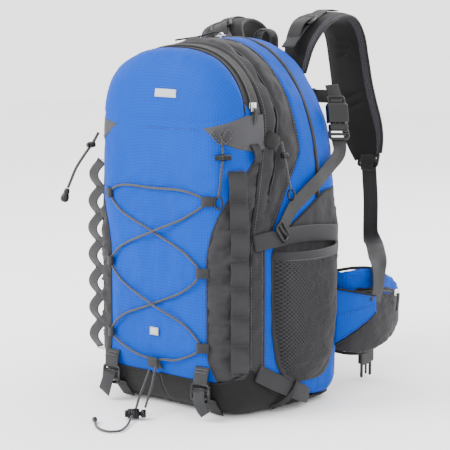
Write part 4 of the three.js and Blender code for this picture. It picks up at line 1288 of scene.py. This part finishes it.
def side_buckles():
    """Side-release buckles with their webbing, and the compression straps that the plugs pull."""
    for tag, sign in (("right", 1), ("left", -1)):
        flip = np.array([sign, 1, 1])
        top, end = BUCKLE_TOP * flip, BUCKLE_END * flip
        way = unit(end - top)
        wide = unit(BUCKLE_WIDE * flip - way * np.dot(BUCKLE_WIDE * flip, way))
        out = np.cross(wide, way)
        axes = (wide, way, out)

        def block(far, width, length, thick, radius, lift=0.0, across=0.0):
            return rounded_box(top + way * far + out * lift + wide * across, (width, length, thick), radius,
                               axes)
        socket = [block(14, 30, 5, 11, 2.2, 0, 0), block(3, 29, 8, 9, 2.4), block(14, 30, 26, 3, 1.4, 4.2),
                  block(14, 30, 26, 3, 1.4, -4.2), block(14, 3.4, 26, 10, 1.6, 0, -13),
                  block(14, 3.4, 26, 10, 1.6, 0, 13),
                  block(-4, 18, 6, 4, 1.8)]
        socket += frame_parts(top - way * 5, wide, way, 24, 10, 1.8, ())
        on_body(joined(f"release_socket_{tag}", socket, BLACK_PLASTIC), "pack", f"side_buckle_socket_{tag}")
        plug = [block(33, 28, 9, 9.5, 2.6), block(20, 5, 22, 3.4, 1.5, 0, -7.5),
                block(20, 5, 22, 3.4, 1.5, 0, 7.5),
                block(21, 3, 20, 3.0, 1.3)]
        plug += frame_parts(top + way * 43, wide, way, 27, 13, 2.2, (0.0,))
        on_body(joined(f"release_plug_{tag}", plug, BLACK_PLASTIC), f"side_plug_{tag}",
                f"side_buckle_plug_{tag}")
        anchor = [top - way * 6, top - way * 14 + np.array([-3 * sign, 0, 2]),
                  top - way * 24 + np.array([-6 * sign, 0, 3])]
        anchor = [tuple(p) for p in anchor]
        on_body(strap(f"buckle_tab_{tag}", anchor, wide, 20, 1.8, BLACK_WEB, 3), "pack")

        def on_side(y, z, off):
            return tuple(side(np.array([float(y)]), np.array([float(z)]), off, sign)[0])
        points = [tuple(end - way * 12 + out * 2), tuple(end + out * 1), (151.5 * sign, 92, 344),
                  on_side(62, 322, 9),
                  on_side(46, 312, 9), on_side(20, 295, 8.4), on_side(-6, 277, 8), on_side(-24, 258, 10),
                  on_side(-34, 244, 10.4)]

        def wide_way(share):
            if share > 0.2:
                return (0.0, 0.5, -0.86)
            return tuple(wide * (1 - share * 5) + np.array([0, 0.5, -0.86]) * share * 5)
        piece = strap(f"compression_webbing_{tag}", points, wide_way, WEB - 2, 1.6, GREY_WEB, 3)
        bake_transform(piece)
        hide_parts(f"compression_strap_{tag}")
        glide = joined(f"tri_glide_{tag}",
                       frame_parts(on_side(-30, 250, 12.2), (0, 0.62, -0.78), (0, 0.78, 0.62),
                                                       27, 15, 2.0, (0.0,)), BLACK_PLASTIC)
        on_panel(glide)
        tab = [on_side(-41, 376, 4), on_side(-38, 372, 9), on_side(-30, 366, 11), on_side(-26, 360, 9)]
        on_panel(strap(f"pole_tab_{tag}", tab, (0, 0.2, 1), 20, 1.6, BLACK_WEB, 2.5))


# ======== padded parts ========
def inflate(piece, voxel=5.0, cap=5.0, pressure=4.0):
    """Swells a closed mesh like stuffed cloth: no point moves further than cap."""
    remesh = piece.modifiers.new("even", "REMESH")
    remesh.mode, remesh.voxel_size = "VOXEL", voxel * MM
    apply_modifiers(piece)
    rest = np.array([v.co for v in piece.data.vertices])
    cloth = piece.modifiers.new("cloth", "CLOTH")
    cloth.settings.quality = 4
    cloth.settings.use_pressure = True
    cloth.settings.uniform_pressure_force = pressure
    cloth.settings.effector_weights.gravity = 0
    cloth.settings.tension_stiffness = 20
    scene = bpy.context.scene
    for step in range(1, 21):
        scene.frame_set(step)
    swollen = piece.evaluated_get(bpy.context.evaluated_depsgraph_get()).data
    moved = np.array([v.co for v in swollen.vertices]) - rest
    piece.modifiers.clear()
    scene.frame_set(1)
    far = np.linalg.norm(moved, axis=1, keepdims=True)
    moved *= np.minimum(1, cap * MM / np.maximum(far, 1e-9))
    piece.data.vertices.foreach_set("co", (rest + moved).ravel())
    smooth = piece.modifiers.new("smooth", "SUBSURF")
    smooth.levels = 1
    apply_modifiers(piece)
    piece.data.polygons.foreach_set("use_smooth", [True] * len(piece.data.polygons))


def recloth(piece, cloth_of):
    """Fabric coordinates on a mesh that was remade, from its points in mm."""
    mesh = piece.data
    points = np.array([v.co for v in mesh.vertices]) / MM
    old = mesh.attributes.get("cloth")
    if old is not None:
        mesh.attributes.remove(old)
    stored = mesh.attributes.new("cloth", "FLOAT_VECTOR", "POINT")
    stored.data.foreach_set("vector", cloth_of(points).astype(np.float32).ravel())


def back_pad(name, centre, size, node, channels=()):
    """A stuffed pad on the wearer's side, with sewn channels across it and a bound edge."""
    width, height, thick = size
    parts = rounded_box(centre, (width - 5, thick - 5, height - 5), 4.0, cuts=3)
    piece = joined(name, [parts], AIR_MESH)
    inflate(piece, 4.5, 4.0, 5.0)
    mesh = piece.data
    points = np.array([v.co for v in mesh.vertices]) / MM
    away = points - np.array(centre)
    edge = np.maximum(np.abs(away[:, 0]) / (width / 2), np.abs(away[:, 2]) / (height / 2))
    outer = away[:, 1] > 0
    pull = np.zeros(len(points))
    for z in channels:
        pull += 4.6 * np.exp(-((points[:, 2] - z) / 4.0) ** 2)
    pull += 3.5 * np.clip((edge - 0.86) / 0.14, 0, 1) ** 2
    points[:, 1] -= np.where(outer, np.minimum(pull, 6.0), 0)
    mesh.vertices.foreach_set("co", (points * MM).ravel())
    recloth(piece, lambda p: np.stack([p[:, 0], p[:, 2], p[:, 1]], axis=1))
    on_body(piece, "pack", node)
    x, z = width / 2 - 1.5, height / 2 - 1.5
    turn = np.linspace(0, 2 * math.pi, 81)
    ring = np.array([(centre[0] + x * np.sign(math.cos(t)) * abs(math.cos(t)) ** 0.3,
                      centre[1] - thick / 2 + 3.0,
                      centre[2] + z * np.sign(math.sin(t))
                      * abs(math.sin(t)) ** (0.3 * 62 / max(62, height / 3)))
                     for t in turn])
    on_body(joined(name + "_binding", [tube_parts(ring, 2.0, 8)], BLACK_CLOTH), "pack")


SHOULDER_RIGHT = [(57, 118, 452), (55, 131, 492), (52, 160, 521), (50, 195, 533), (49, 228, 528),
                  (49, 248, 505),
                  (51, 256, 470), (58, 257, 430), (70, 256, 390), (84, 254, 352), (92, 252, 326)]
SHOULDER_LEFT = [(-60, 118, 452), (-84, 130, 488), (-106, 150, 512), (-118, 185, 523), (-120, 220, 514),
                 (-118, 245, 486), (-113, 255, 446), (-106, 257, 410), (-100, 255, 370), (-92, 252, 326)]


def pad_width(share, start):
    return start + (70 - start) * min(1, share / 0.25) - 24 * max(0, (share - 0.85) / 0.15) ** 2


def shoulder_pad(tag, route, across, start):
    """Foam between smooth cloth and spacer mesh, thin and bound at its edges, with short sewn grooves."""
    path = smooth_path(route, 3.0)
    along = tangents(path)
    run = distance_along(path)
    sides = 44
    rings, cloth, edges = [], [], ([], [])
    grooves = [run[-1] * share for share in (0.545, 0.58, 0.745, 0.785)]
    for i, (at, way, far) in enumerate(zip(path, along, run)):
        share = i / (len(path) - 1)
        wide = unit(np.array(across, float) - way * np.dot(across, way))
        up = np.cross(way, wide)
        width, thick = pad_width(share, start), 11.5 - 4.5 * max(0, share - 0.85) / 0.15
        for k in range(sides):
            turn = 2 * math.pi * k / sides
            u = np.sign(math.cos(turn)) * abs(math.cos(turn)) ** 0.55
            v = np.sign(math.sin(turn)) * abs(math.sin(turn)) ** 0.75
            lift = v * (0.5 - 0.22 * abs(u) ** 4)
            dent = sum(math.exp(-((far - groove) / 3.4) ** 2) for groove in grooves)
            lift -= np.sign(v) * 0.34 * dent * max(0, 1 - (abs(u) / 0.42) ** 4)
            lift += 0.03 * noise.noise(Vector((u * 2, far / 26, 7.0)))
            rings.append(at + wide * u * width / 2 + up * lift * thick)
            cloth.append((u * width / 2, far, 0))
        for edge, sign in zip(edges, (-1, 1)):
            edge.append(at + wide * sign * (width / 2 - 0.6))
    faces = grid_faces(len(path), sides, closed=True)
    slots = []
    for face in range(len(path) - 1):
        for k in range(sides):
            turn = 2 * math.pi * (k + 0.5) / sides
            slots.append(1 if math.cos(turn) * (1 if tag == "right" else -1) > 0.55 else 0)
    faces += [tuple(range(sides))[::-1], tuple(range((len(path) - 1) * sides, len(path) * sides))]
    slots += [0, 0]
    piece = as_mesh(f"shoulder_strap_{tag}", rings, faces, [STRAP_CLOTH, EDGE_MESH], cloth, slots)
    on_body(piece, f"shoulder_{tag}", f"shoulder_pad_{tag}")
    binding = [tube_parts(np.array(edge), 2.1, 8) for edge in edges]
    on_body(joined(f"shoulder_binding_{tag}", binding, BLACK_WEB), f"shoulder_{tag}")
    sewn = []
    for groove in grooves:
        at = np.array([np.interp(groove, run, path[:, k]) for k in range(3)])
        way = unit(np.array([np.interp(groove, run, along[:, k]) for k in range(3)]))
        wide = unit(np.array(across, float) - way * np.dot(across, way))
        up = np.cross(way, wide)
        line = np.array([at + wide * w + up * 1.7 for w in np.linspace(-13, 13, 12)])
        sewn += stitch_parts(line, np.repeat(up[None], 12, 0), 2.0, 0.3, 0.7)
    on_body(joined(f"shoulder_bartacks_{tag}", sewn, BLACK_THREAD), f"shoulder_{tag}")
    spine = [tuple(path[i] - np.cross(along[i], unit(across)) * 7.4)
             for i in range(int(len(path) * 0.42), len(path), 6)]
    on_body(strap(f"shoulder_webbing_{tag}", spine, across, WEB, 1.7, BLACK_WEB, 4), f"shoulder_{tag}")


def harness():
    for tag, sign, route, across, start in (("right", 1, SHOULDER_RIGHT, (1, 0, 0), 34),
                                            ("left", -1, SHOULDER_LEFT, (1, 0.1, 0.15), 62)):
        shoulder_pad(tag, route, across, start)
        lower = [(92, 252, 330), (92.5, 252, 319), (97, 252, 262), (99, 251, 208), (112, 240, 200),
                 (140, 205, 194),
                 (166, 172, 182), (176, 158, 158), (176, 150, 132)]
        lower = [(x * sign, y, z) for x, y, z in lower]

        def turning(share):
            turn = np.clip((share - 0.35) / 0.45, 0, 1)
            turn = turn * turn * (3 - 2 * turn)
            return np.array([1.0, 0, 0]) * (1 - turn) + np.array([0, 1.0, 0.2 * 1]) * turn * sign
        piece = strap(f"adjusting_webbing_{tag}", lower, turning, WEB + 2, 1.8, GREY_WEB, 4)
        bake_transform(piece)
        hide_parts(f"strap_webbing_{tag}")
        lock = frame_parts((92 * sign, 252.5, 322), (1, 0, 0), (0.2 * sign, 0, 1), 33, 20, 2.3, (0.0, 0.5))
        on_body(joined(f"strap_ladder_lock_{tag}", lock, BLACK_PLASTIC), f"shoulder_{tag}")
        loop = [(92 * sign, 249, 330), (93 * sign, 245.5, 318), (93.5 * sign, 247.5, 306),
                (93 * sign, 252, 314)]
        on_body(strap(f"strap_loop_{tag}", loop, (1, 0, 0), 22, 1.7, BLACK_WEB, 2.5), f"shoulder_{tag}")
    lifters = (("right", [(56, 100, 489), (56, 106, 495), (55, 128, 513), (53.5, 146, 524), (53, 160, 529.5),
                          (51, 190, 541), (50, 214, 540.5)], (1, 0, 0)),
               ("left",
                [(-60, 100, 489), (-62, 106, 495), (-86, 126, 508), (-100, 142, 517), (-106.5, 152, 521),
                         (-117.5, 184, 531), (-120, 206, 530)], (1, 0.1, 0.15)))
    for tag, points, across in lifters:
        piece = strap(f"lifter_webbing_{tag}", points, across, WEB - 2, 1.8, LIFT_WEB, 3)
        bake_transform(piece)
        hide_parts(f"load_lifter_{tag}")
        way = unit(np.array(points[4], float) - np.array(points[2], float))
        wide = unit(np.array(across, float) - way * np.dot(across, way))
        out = np.cross(way, wide)
        out = out if out[2] > 0 else -out
        centre = np.array(points[3]) + out * 3.0
        lock = frame_parts(centre, wide, way, 29, 20, 2.2, (-0.1, 0.4))
        on_body(joined(f"lifter_lock_{tag}", lock, BLACK_PLASTIC), f"shoulder_{tag}")
        tail = [tuple(centre + way * 6 + out * 1), tuple(centre - way * 6 + out * 3.4),
                tuple(centre - way * 20 + out * 3.0), tuple(centre - way * 34 - out * 4),
                tuple(centre - way * 42 - out * 13)]
        on_body(strap(f"lifter_tail_{tag}", tail, wide, WEB - 3, 1.6, BLACK_WEB, 3), f"shoulder_{tag}")
    handle = [(-15, 121, 474), (-15.5, 121, 490), (-14, 121, 505), (-7, 121, 512), (7, 121, 512),
              (14, 121, 505),
              (15.5, 121, 490), (15, 121, 474)]
    on_body(strap("haul_loop", handle, (0, 1, 0), 18, 2.4, BLACK_WEB, 2.5, bow=0.4), "handle", "haul_handle")
    chest_strap()


def chest_strap():
    y, z = 268, 412

    def line(a, b, dz=0):
        return [(a, y, z + dz), ((a + b) / 2, y, z + dz), (b, y, z + dz)]
    housing = [rounded_box((-50, y + 3.4, z), (23, 2.4, 25), 1.1),
               rounded_box((-50, y - 3.4, z), (23, 2.4, 25), 1.1),
               rounded_box((-50, y, z + 11), (23, 9, 3.4), 1.4),
               rounded_box((-50, y, z - 11), (23, 9, 3.4), 1.4),
               rounded_box((-60, y, z), (4, 8.6, 25), 1.8)]
    on_body(joined("chest_socket_body", housing, BLACK_PLASTIC), "shoulder_left", "sternum_socket")
    on_body(strap("chest_webbing_left", line(-128, -60), (0, 0, 1), 20, 1.6, BLACK_WEB, 3), "shoulder_left")
    plug = [rounded_box((-28, y, z), (18, 8, 24), 2.6), rounded_box((-46, y, z + 6), (20, 3.2, 3.6), 1.4),
            rounded_box((-46, y, z - 6), (20, 3.2, 3.6), 1.4), rounded_box((-44, y, z), (16, 2.6, 2.6), 1.1)]
    on_body(joined("chest_plug_body", plug, BLACK_PLASTIC), "chest_plug", "sternum_plug")
    on_body(strap("chest_webbing_right", line(-20, 70), (0, 0, 1), 20, 1.6, BLACK_WEB, 3), "chest_plug")
    for tag, x, body in (("right", 62, "shoulder_right"), ("left", -107, "shoulder_left")):
        slot = frame_parts((x, y - 2.5, z), (0, 0, 1), (1, 0, 0), 27, 13, 1.9, (0.0,))
        on_body(joined(f"chest_slider_{tag}", slot, BLACK_PLASTIC), body)


# ======== hip belt ========
WING = [(119, 119, 58, 176, 12), (136, 126, 52, 182, 16), (150, 148, 50, 180, 24), (153, 188, 57, 172, 27),
        (149, 226, 63, 156, 24), (142, 250, 76, 138, 12)]


def wing_surface(sign, rows=60, sides=64, shrink=1.0):
    """Rings round the hip pad from the pack to its tip."""
    line = smooth_path([(x, y, 0) for x, y, *_ in WING], 2.0)
    share = np.linspace(0, 1, len(line))
    keys = np.linspace(0, 1, len(WING))
    table = [np.interp(share, keys, [row[k] for row in WING]) for k in (2, 3, 4)]
    for _ in range(30):
        for column in table:
            column[1:-1] = (column[:-2] + 2 * column[1:-1] + column[2:]) / 4
    pick = np.linspace(0, len(line) - 1, rows)
    at = np.stack([np.interp(pick, np.arange(len(line)), line[:, k]) for k in range(3)], axis=1)
    low, high, thick = (np.interp(pick, np.arange(len(line)), column) for column in table)
    along = tangents(at)
    out = np.stack([along[:, 1], -along[:, 0], 0 * along[:, 0]], axis=1)
    turn = np.linspace(0, 2 * math.pi, sides, endpoint=False)
    u = np.sign(np.sin(turn)) * np.abs(np.sin(turn)) ** 0.62
    v = np.sign(np.cos(turn)) * np.abs(np.cos(turn)) ** 0.5
    v = np.where(v < 0, v * 0.8, v)
    middle = at + np.array([0, 0, 1.0]) * ((low + high) / 2)[:, None]
    grid = (middle[:, None,
                   :] + np.array([0, 0, 1.0]) * (u[None, :] * (high - low)[:, None] / 2 * shrink)[..., None]
            + out[:, None, :] * (v[None, :] * thick[:, None] / 2 * shrink)[..., None])
    grid[..., 0] *= sign
    return grid, u, v


ZIP_U = 0.42


def hip_belt():
    for tag, sign in (("right", 1), ("left", -1)):
        body = f"hip_{tag}"
        grid, u, v = wing_surface(sign, shrink=0.975)
        rows, sides = grid.shape[:2]
        points = grid.reshape(-1, 3)
        faces = grid_faces(rows, sides, closed=True)
        faces += [tuple(range(sides))[::-1], tuple(range((rows - 1) * sides, rows * sides))]
        faces = faces if sign > 0 else [face[::-1] for face in faces]
        piece = as_mesh(f"hip_pad_{tag}", points, faces, [GREY_CLOTH, BLUE_CLOTH, AIR_MESH], points * 0)
        inflate(piece, 4.5, 3.5, 4.0)
        mesh = piece.data
        centre_line = (grid[:, 0] + grid[:, sides // 2]) / 2
        made = np.array([v_.co for v_ in mesh.vertices]) / MM
        recloth(piece,
                lambda p: np.stack([np.hypot(p[:, 0] - 100 * sign, p[:, 1]), p[:, 2], 0 * p[:, 0]], axis=1))
        centres = np.array([p.center for p in mesh.polygons]) / MM
        flat = centre_line[:, :2]
        near = np.argmin(((centres[:, None, :2] - flat[None]) ** 2).sum(axis=2), axis=1)
        low, high = grid[..., 2].min(axis=1), grid[..., 2].max(axis=1)
        height = (centres[:, 2] - (low + high)[near] / 2) / ((high - low)[near] / 2)
        outer = (centres[:, 0] * sign - flat[near, 0] * sign) + 0.25 * (flat[near, 1] - centres[:, 1]) > -1.5
        slots = np.where(~outer, 2, np.where(height > ZIP_U, 1, 0))
        creased = np.array([noise.fractal(Vector((p * np.array([1, 1, 1.8]) / 30).tolist()), 0.6, 2.1,
                                          4) for p in made])
        out = np.array([v_.normal for v_ in mesh.vertices])
        mesh.vertices.foreach_set("co", ((made + out * creased[:, None] * 1.8) * MM).ravel())
        materials = mesh.materials
        while len(materials):
            materials.pop()
        for material in (GREY_CLOTH, BLUE_CLOTH, AIR_MESH):
            materials.append(material)
        mesh.polygons.foreach_set("material_index", slots.astype(np.int32))
        on_body(piece, body, f"hip_wing_{tag}")
        full, u, v = wing_surface(sign, shrink=1.0)
        top = full[:, int(np.argmax(u))]
        bottom = full[:, int(np.argmin(u))]
        seams = [tube_parts(smooth_path(edge[::4], 3.0) + np.array([0, 0, dz]), 2.2, 8)
                 for edge, dz in ((top, -2.6), (bottom, 2.6))]
        on_body(joined(f"hip_piping_{tag}", seams, BLACK_CLOTH), body)
        k = int(np.argmin(np.abs(u - ZIP_U) + (v < 0) * 9))
        line = full[8:-6, k] + (full[8:-6, k] - centre_line[8:-6]) * np.array([0.10, 0.10, 0])
        line = smooth_path(line[::4], 3.0)
        on_body(strap(f"hip_zip_tape_{tag}", line, (0, 0, 1), 11, 1.4, BLACK_WEB, 3), body)
        coil = line + unit(np.stack([line[:, 0] - 100 * sign, 0 * line[:, 0], 0 * line[:, 0]], axis=1)) * 1.1
        on_body(joined(f"hip_zip_coil_{tag}", [tube_parts(coil, 1.5, 8)], COIL), body)
        at = np.array((171 * sign, 212, 136.0))
        slider = [rounded_box(at, (4.6, 12, 9), 1.4),
                  rounded_box(at + np.array([2.4 * sign, 0, 0]), (2.4, 9, 3), 1.0)]
        on_body(joined(f"hip_slider_body_{tag}", slider, STEEL), f"hip_slider_{tag}", f"hip_zip_slider_{tag}")
        pull = [tuple(at + np.array(p) * np.array([sign, 1, 1])) for p in ((3.4, 1, -1), (5, -2, -8),
                                                                           (4.6, -3, -18), (4, -3, -26))]
        on_body(strap(f"hip_pull_{tag}", pull, (0, 1, 0), 5, 2.0, GREY_WEB, 2.5), f"hip_slider_{tag}")
        stabiliser(tag, sign)
        belt_end(tag, sign, body)


def stabiliser(tag, sign):
    """The sewn triangle that ties the hip pad to the side of the pack."""
    a, b = np.linspace(0, 1, 20), np.linspace(0, 1, 16)
    rear_low, rear_high = np.array([149, 92, 76.0]), np.array([149.5, 92, 156.0])
    tip_low, tip_high = np.array([178, 150, 117.0]), np.array([178, 150, 141.0])
    root = rear_low + (rear_high - rear_low) * b[:, None]
    tip = tip_low + (tip_high - tip_low) * b[:, None]
    grid = root[:, None, :] * (1 - a)[None, :, None] + tip[:, None, :] * a[None, :, None]
    grid[..., 0] += 6 * np.sin(a * math.pi)[None, :] + creases(grid, 1.4, 24, 55.0)
    grid[..., 0] = np.maximum(grid[..., 0], side(grid[..., 1], grid[..., 2])[..., 0] + 2.4)
    grid[..., 0] *= sign
    piece = cloth_shell(f"hip_stabiliser_{tag}", grid, [BLUE_CLOTH], 2.2)
    sewn = []
    for row in (1, 8, 14):
        line = grid[row]
        sewn += stitch_parts(line + np.array([1.0 * sign, 0, 0]),
                             np.repeat(np.array([[sign, 0, 0.0]]), len(line), 0), 2.4, 1.2, 0.4)
    stitches = joined(f"stabiliser_stitches_{tag}", sewn, BLUE_THREAD)
    edge = [tube_parts(grid[0], 1.5, 8), tube_parts(grid[-1], 1.5, 8)]
    edges = joined(f"stabiliser_binding_{tag}", edge, BLACK_CLOTH)
    for made in (piece, stitches, edges):
        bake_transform(made)


def belt_end(tag, sign, body):
    points = [(139, 247, 107), (126, 245, 107), (120, 240, 98), (118.4, 230, 80), (117.3, 219, 58)]
    points = [(x * sign, y, z) for x, y, z in points]

    def wide(share):
        turned = min(1, max(0, share - 0.15) * 2.2)
        return (0, 1 * turned, 1.0 - turned)
    on_body(strap(f"belt_webbing_{tag}", points, wide, WEB + 6, 1.9, BLACK_WEB, 3), body)
    x = 117 * sign
    if tag == "right":
        parts = [rounded_box((x, 216, 34), (7, 34, 22), 2.4), rounded_box((x, 205, 14), (3.2, 5, 24), 1.4),
                 rounded_box((x, 227, 14), (3.2, 5, 24), 1.4), rounded_box((x, 216, 16), (2.8, 3.4, 20), 1.2),
                 rounded_box((x, 216, 22.5), (3.0, 27, 5), 1.3)]
        parts += frame_parts((x, 216, 52), (0, 1, 0), (0, 0, 1), 34, 16, 2.6, (0.0,))
        on_body(joined("belt_plug_body", parts, BLACK_PLASTIC), body, "belt_plug_strap")
    else:
        parts = [rounded_box((x + 2.6, 216, 34), (2.2, 37, 36), 1.0),
                 rounded_box((x - 2.6, 216, 34), (2.2, 37, 36), 1.0),
                 rounded_box((x, 199, 34), (7.4, 4, 36), 1.6), rounded_box((x, 233, 34), (7.4, 4, 36), 1.6),
                 rounded_box((x, 216, 51), (7.4, 37, 5), 2.0)]
        parts += frame_parts((x, 216, 57), (0, 1, 0), (0, 0, 1), 34, 11, 2.4, ())
        on_body(joined("belt_socket_body", parts, BLACK_PLASTIC), body, "belt_socket_strap")


# ======== zip sliders and small trim ========
def slider_parts(centre, along, out):
    """A zip slider: two plates, a bridge over the upper one and the loop for the pull."""
    along, out = unit(along), unit(out)
    across = np.cross(out, along)
    axes, centre = (across, along, out), np.array(centre, float)
    parts = [rounded_box(centre - out * 2.2, (9, 12, 1.6), 0.7, axes),
             rounded_box(centre + out * 1.2, (9, 12, 1.6), 0.7, axes),
             rounded_box(centre - out * 0.5, (2.6, 4, 4), 0.8, axes)]
    bridge = np.array([centre + along * 4.6 + out * 1.6, centre + along * 3.6 + out * 4.2, centre + out * 5.0,
                       centre - along * 3.6 + out * 4.2, centre - along * 4.6 + out * 1.6])
    parts.append(tube_parts(smooth_path(bridge, 1.0), 1.0, 8))
    return parts


def zip_sliders():
    on_body(joined("main_slider_body", slider_parts((-25, 50, 503.6), (1, 0, 0.1), (0, 0, 1)), STEEL),
            "main_slider", "main_slider")
    pull = [(-28, 49.4, 509.2), (-34, 44, 509.6), (-46, 28, 504), (-58, 12, 501), (-66, 0, 499)]
    on_body(strap("main_zip_pull", pull, (0.7, -0.7, 0), 8, 2.4, GREY_WEB, 2.5), "main_pull", "main_pull")
    x = float(side(np.array([-58.0]), np.array([414.0]))[0, 0])
    on_body(joined("pocket_slider_body", slider_parts((x + 3.6, -58, 414), (0, 0, 1), (1, -0.2, 0)), STEEL),
            "front_slider", "pocket_slider")
    pull = [(x + 8.6, -58.4, 413), (x + 9.0, -58.4, 406), (x + 7, -58.4, 396), (x + 4.8, -58.4, 380)]
    on_body(strap("pocket_zip_pull", pull, (0, 1, 0), 7, 2.4, GREY_WEB, 2.5), "front_pull", "pocket_pull")


def wearer_side():
    for tag, sign in (("right", 1), ("left", -1)):
        back_pad(f"back_cushion_{tag}", (47 * sign, 117.4, 294), (62, 292, 14), f"back_pad_{tag}",
                 (205, 250, 294, 338, 383))
    back_pad("lumbar_cushion", (0, 118.9, 94), (180, 96, 17), "lumbar_pad", ())
    board = rounded_box((0, 104, 220), (186, 385, 2), 0.9, ((1, 0, 0), (0, 0, 1), (0, -1, 0)))
    on_body(joined("stiffening_board", [board], FRAME_BOARD), "pack", "frame_sheet")


# ======== stage ========
def stage():
    floor = as_mesh("floor",
                    [(-6000, -6000, -0.6), (6000, -6000, -0.6), (6000, 6000, -0.6), (-6000, 6000, -0.6)],
                    [(0, 1, 2, 3)], [GREY_CLOTH])
    floor.data.materials.clear()
    plain = Shader("floor", 0.9, Specular_IOR_Level=0.1)
    plain.colour(plain.mix(plain.noise(2, 2), (0.94, 0.94, 0.94, 1), (0.97, 0.97, 0.97, 1)))
    floor.data.materials.append(plain.material)
    world = bpy.data.worlds.new("studio")
    bpy.context.scene.world = world
    world.use_nodes = True
    world.node_tree.nodes["Background"].inputs["Color"].default_value = (1, 1, 1, 1)
    world.node_tree.nodes["Background"].inputs["Strength"].default_value = 2.5
    for name, place, size, power in (("key", (-1.2, -2.2, 2.2), 1.4, 120),
                                     ("fill", (2.4, -1.4, 1.2), 1.8, 10),
                                     ("back", (0.6, 2.4, 1.8), 1.5, 50)):
        data = bpy.data.lights.new(name, "AREA")
        data.energy, data.size = power, size
        lamp = bpy.data.objects.new(name, data)
        bpy.context.scene.collection.objects.link(lamp)
        lamp.location = place
        lamp.rotation_mode = "QUATERNION"
        lamp.rotation_quaternion = (Vector(place) - Vector((0, 0, 0.25))).to_track_quat("Z", "Y")


# ======== everything, in order ========
for build in (front_panels, lid, corner_patches, gusset, shells, base, main_zip, inner_walls, make_cords,
              ladders, cord_loop_tabs, lacing, base_straps, bow, labels, net_pockets, side_panels,
              side_buckles, harness, wearer_side, hip_belt, zip_sliders, stage):
    build()
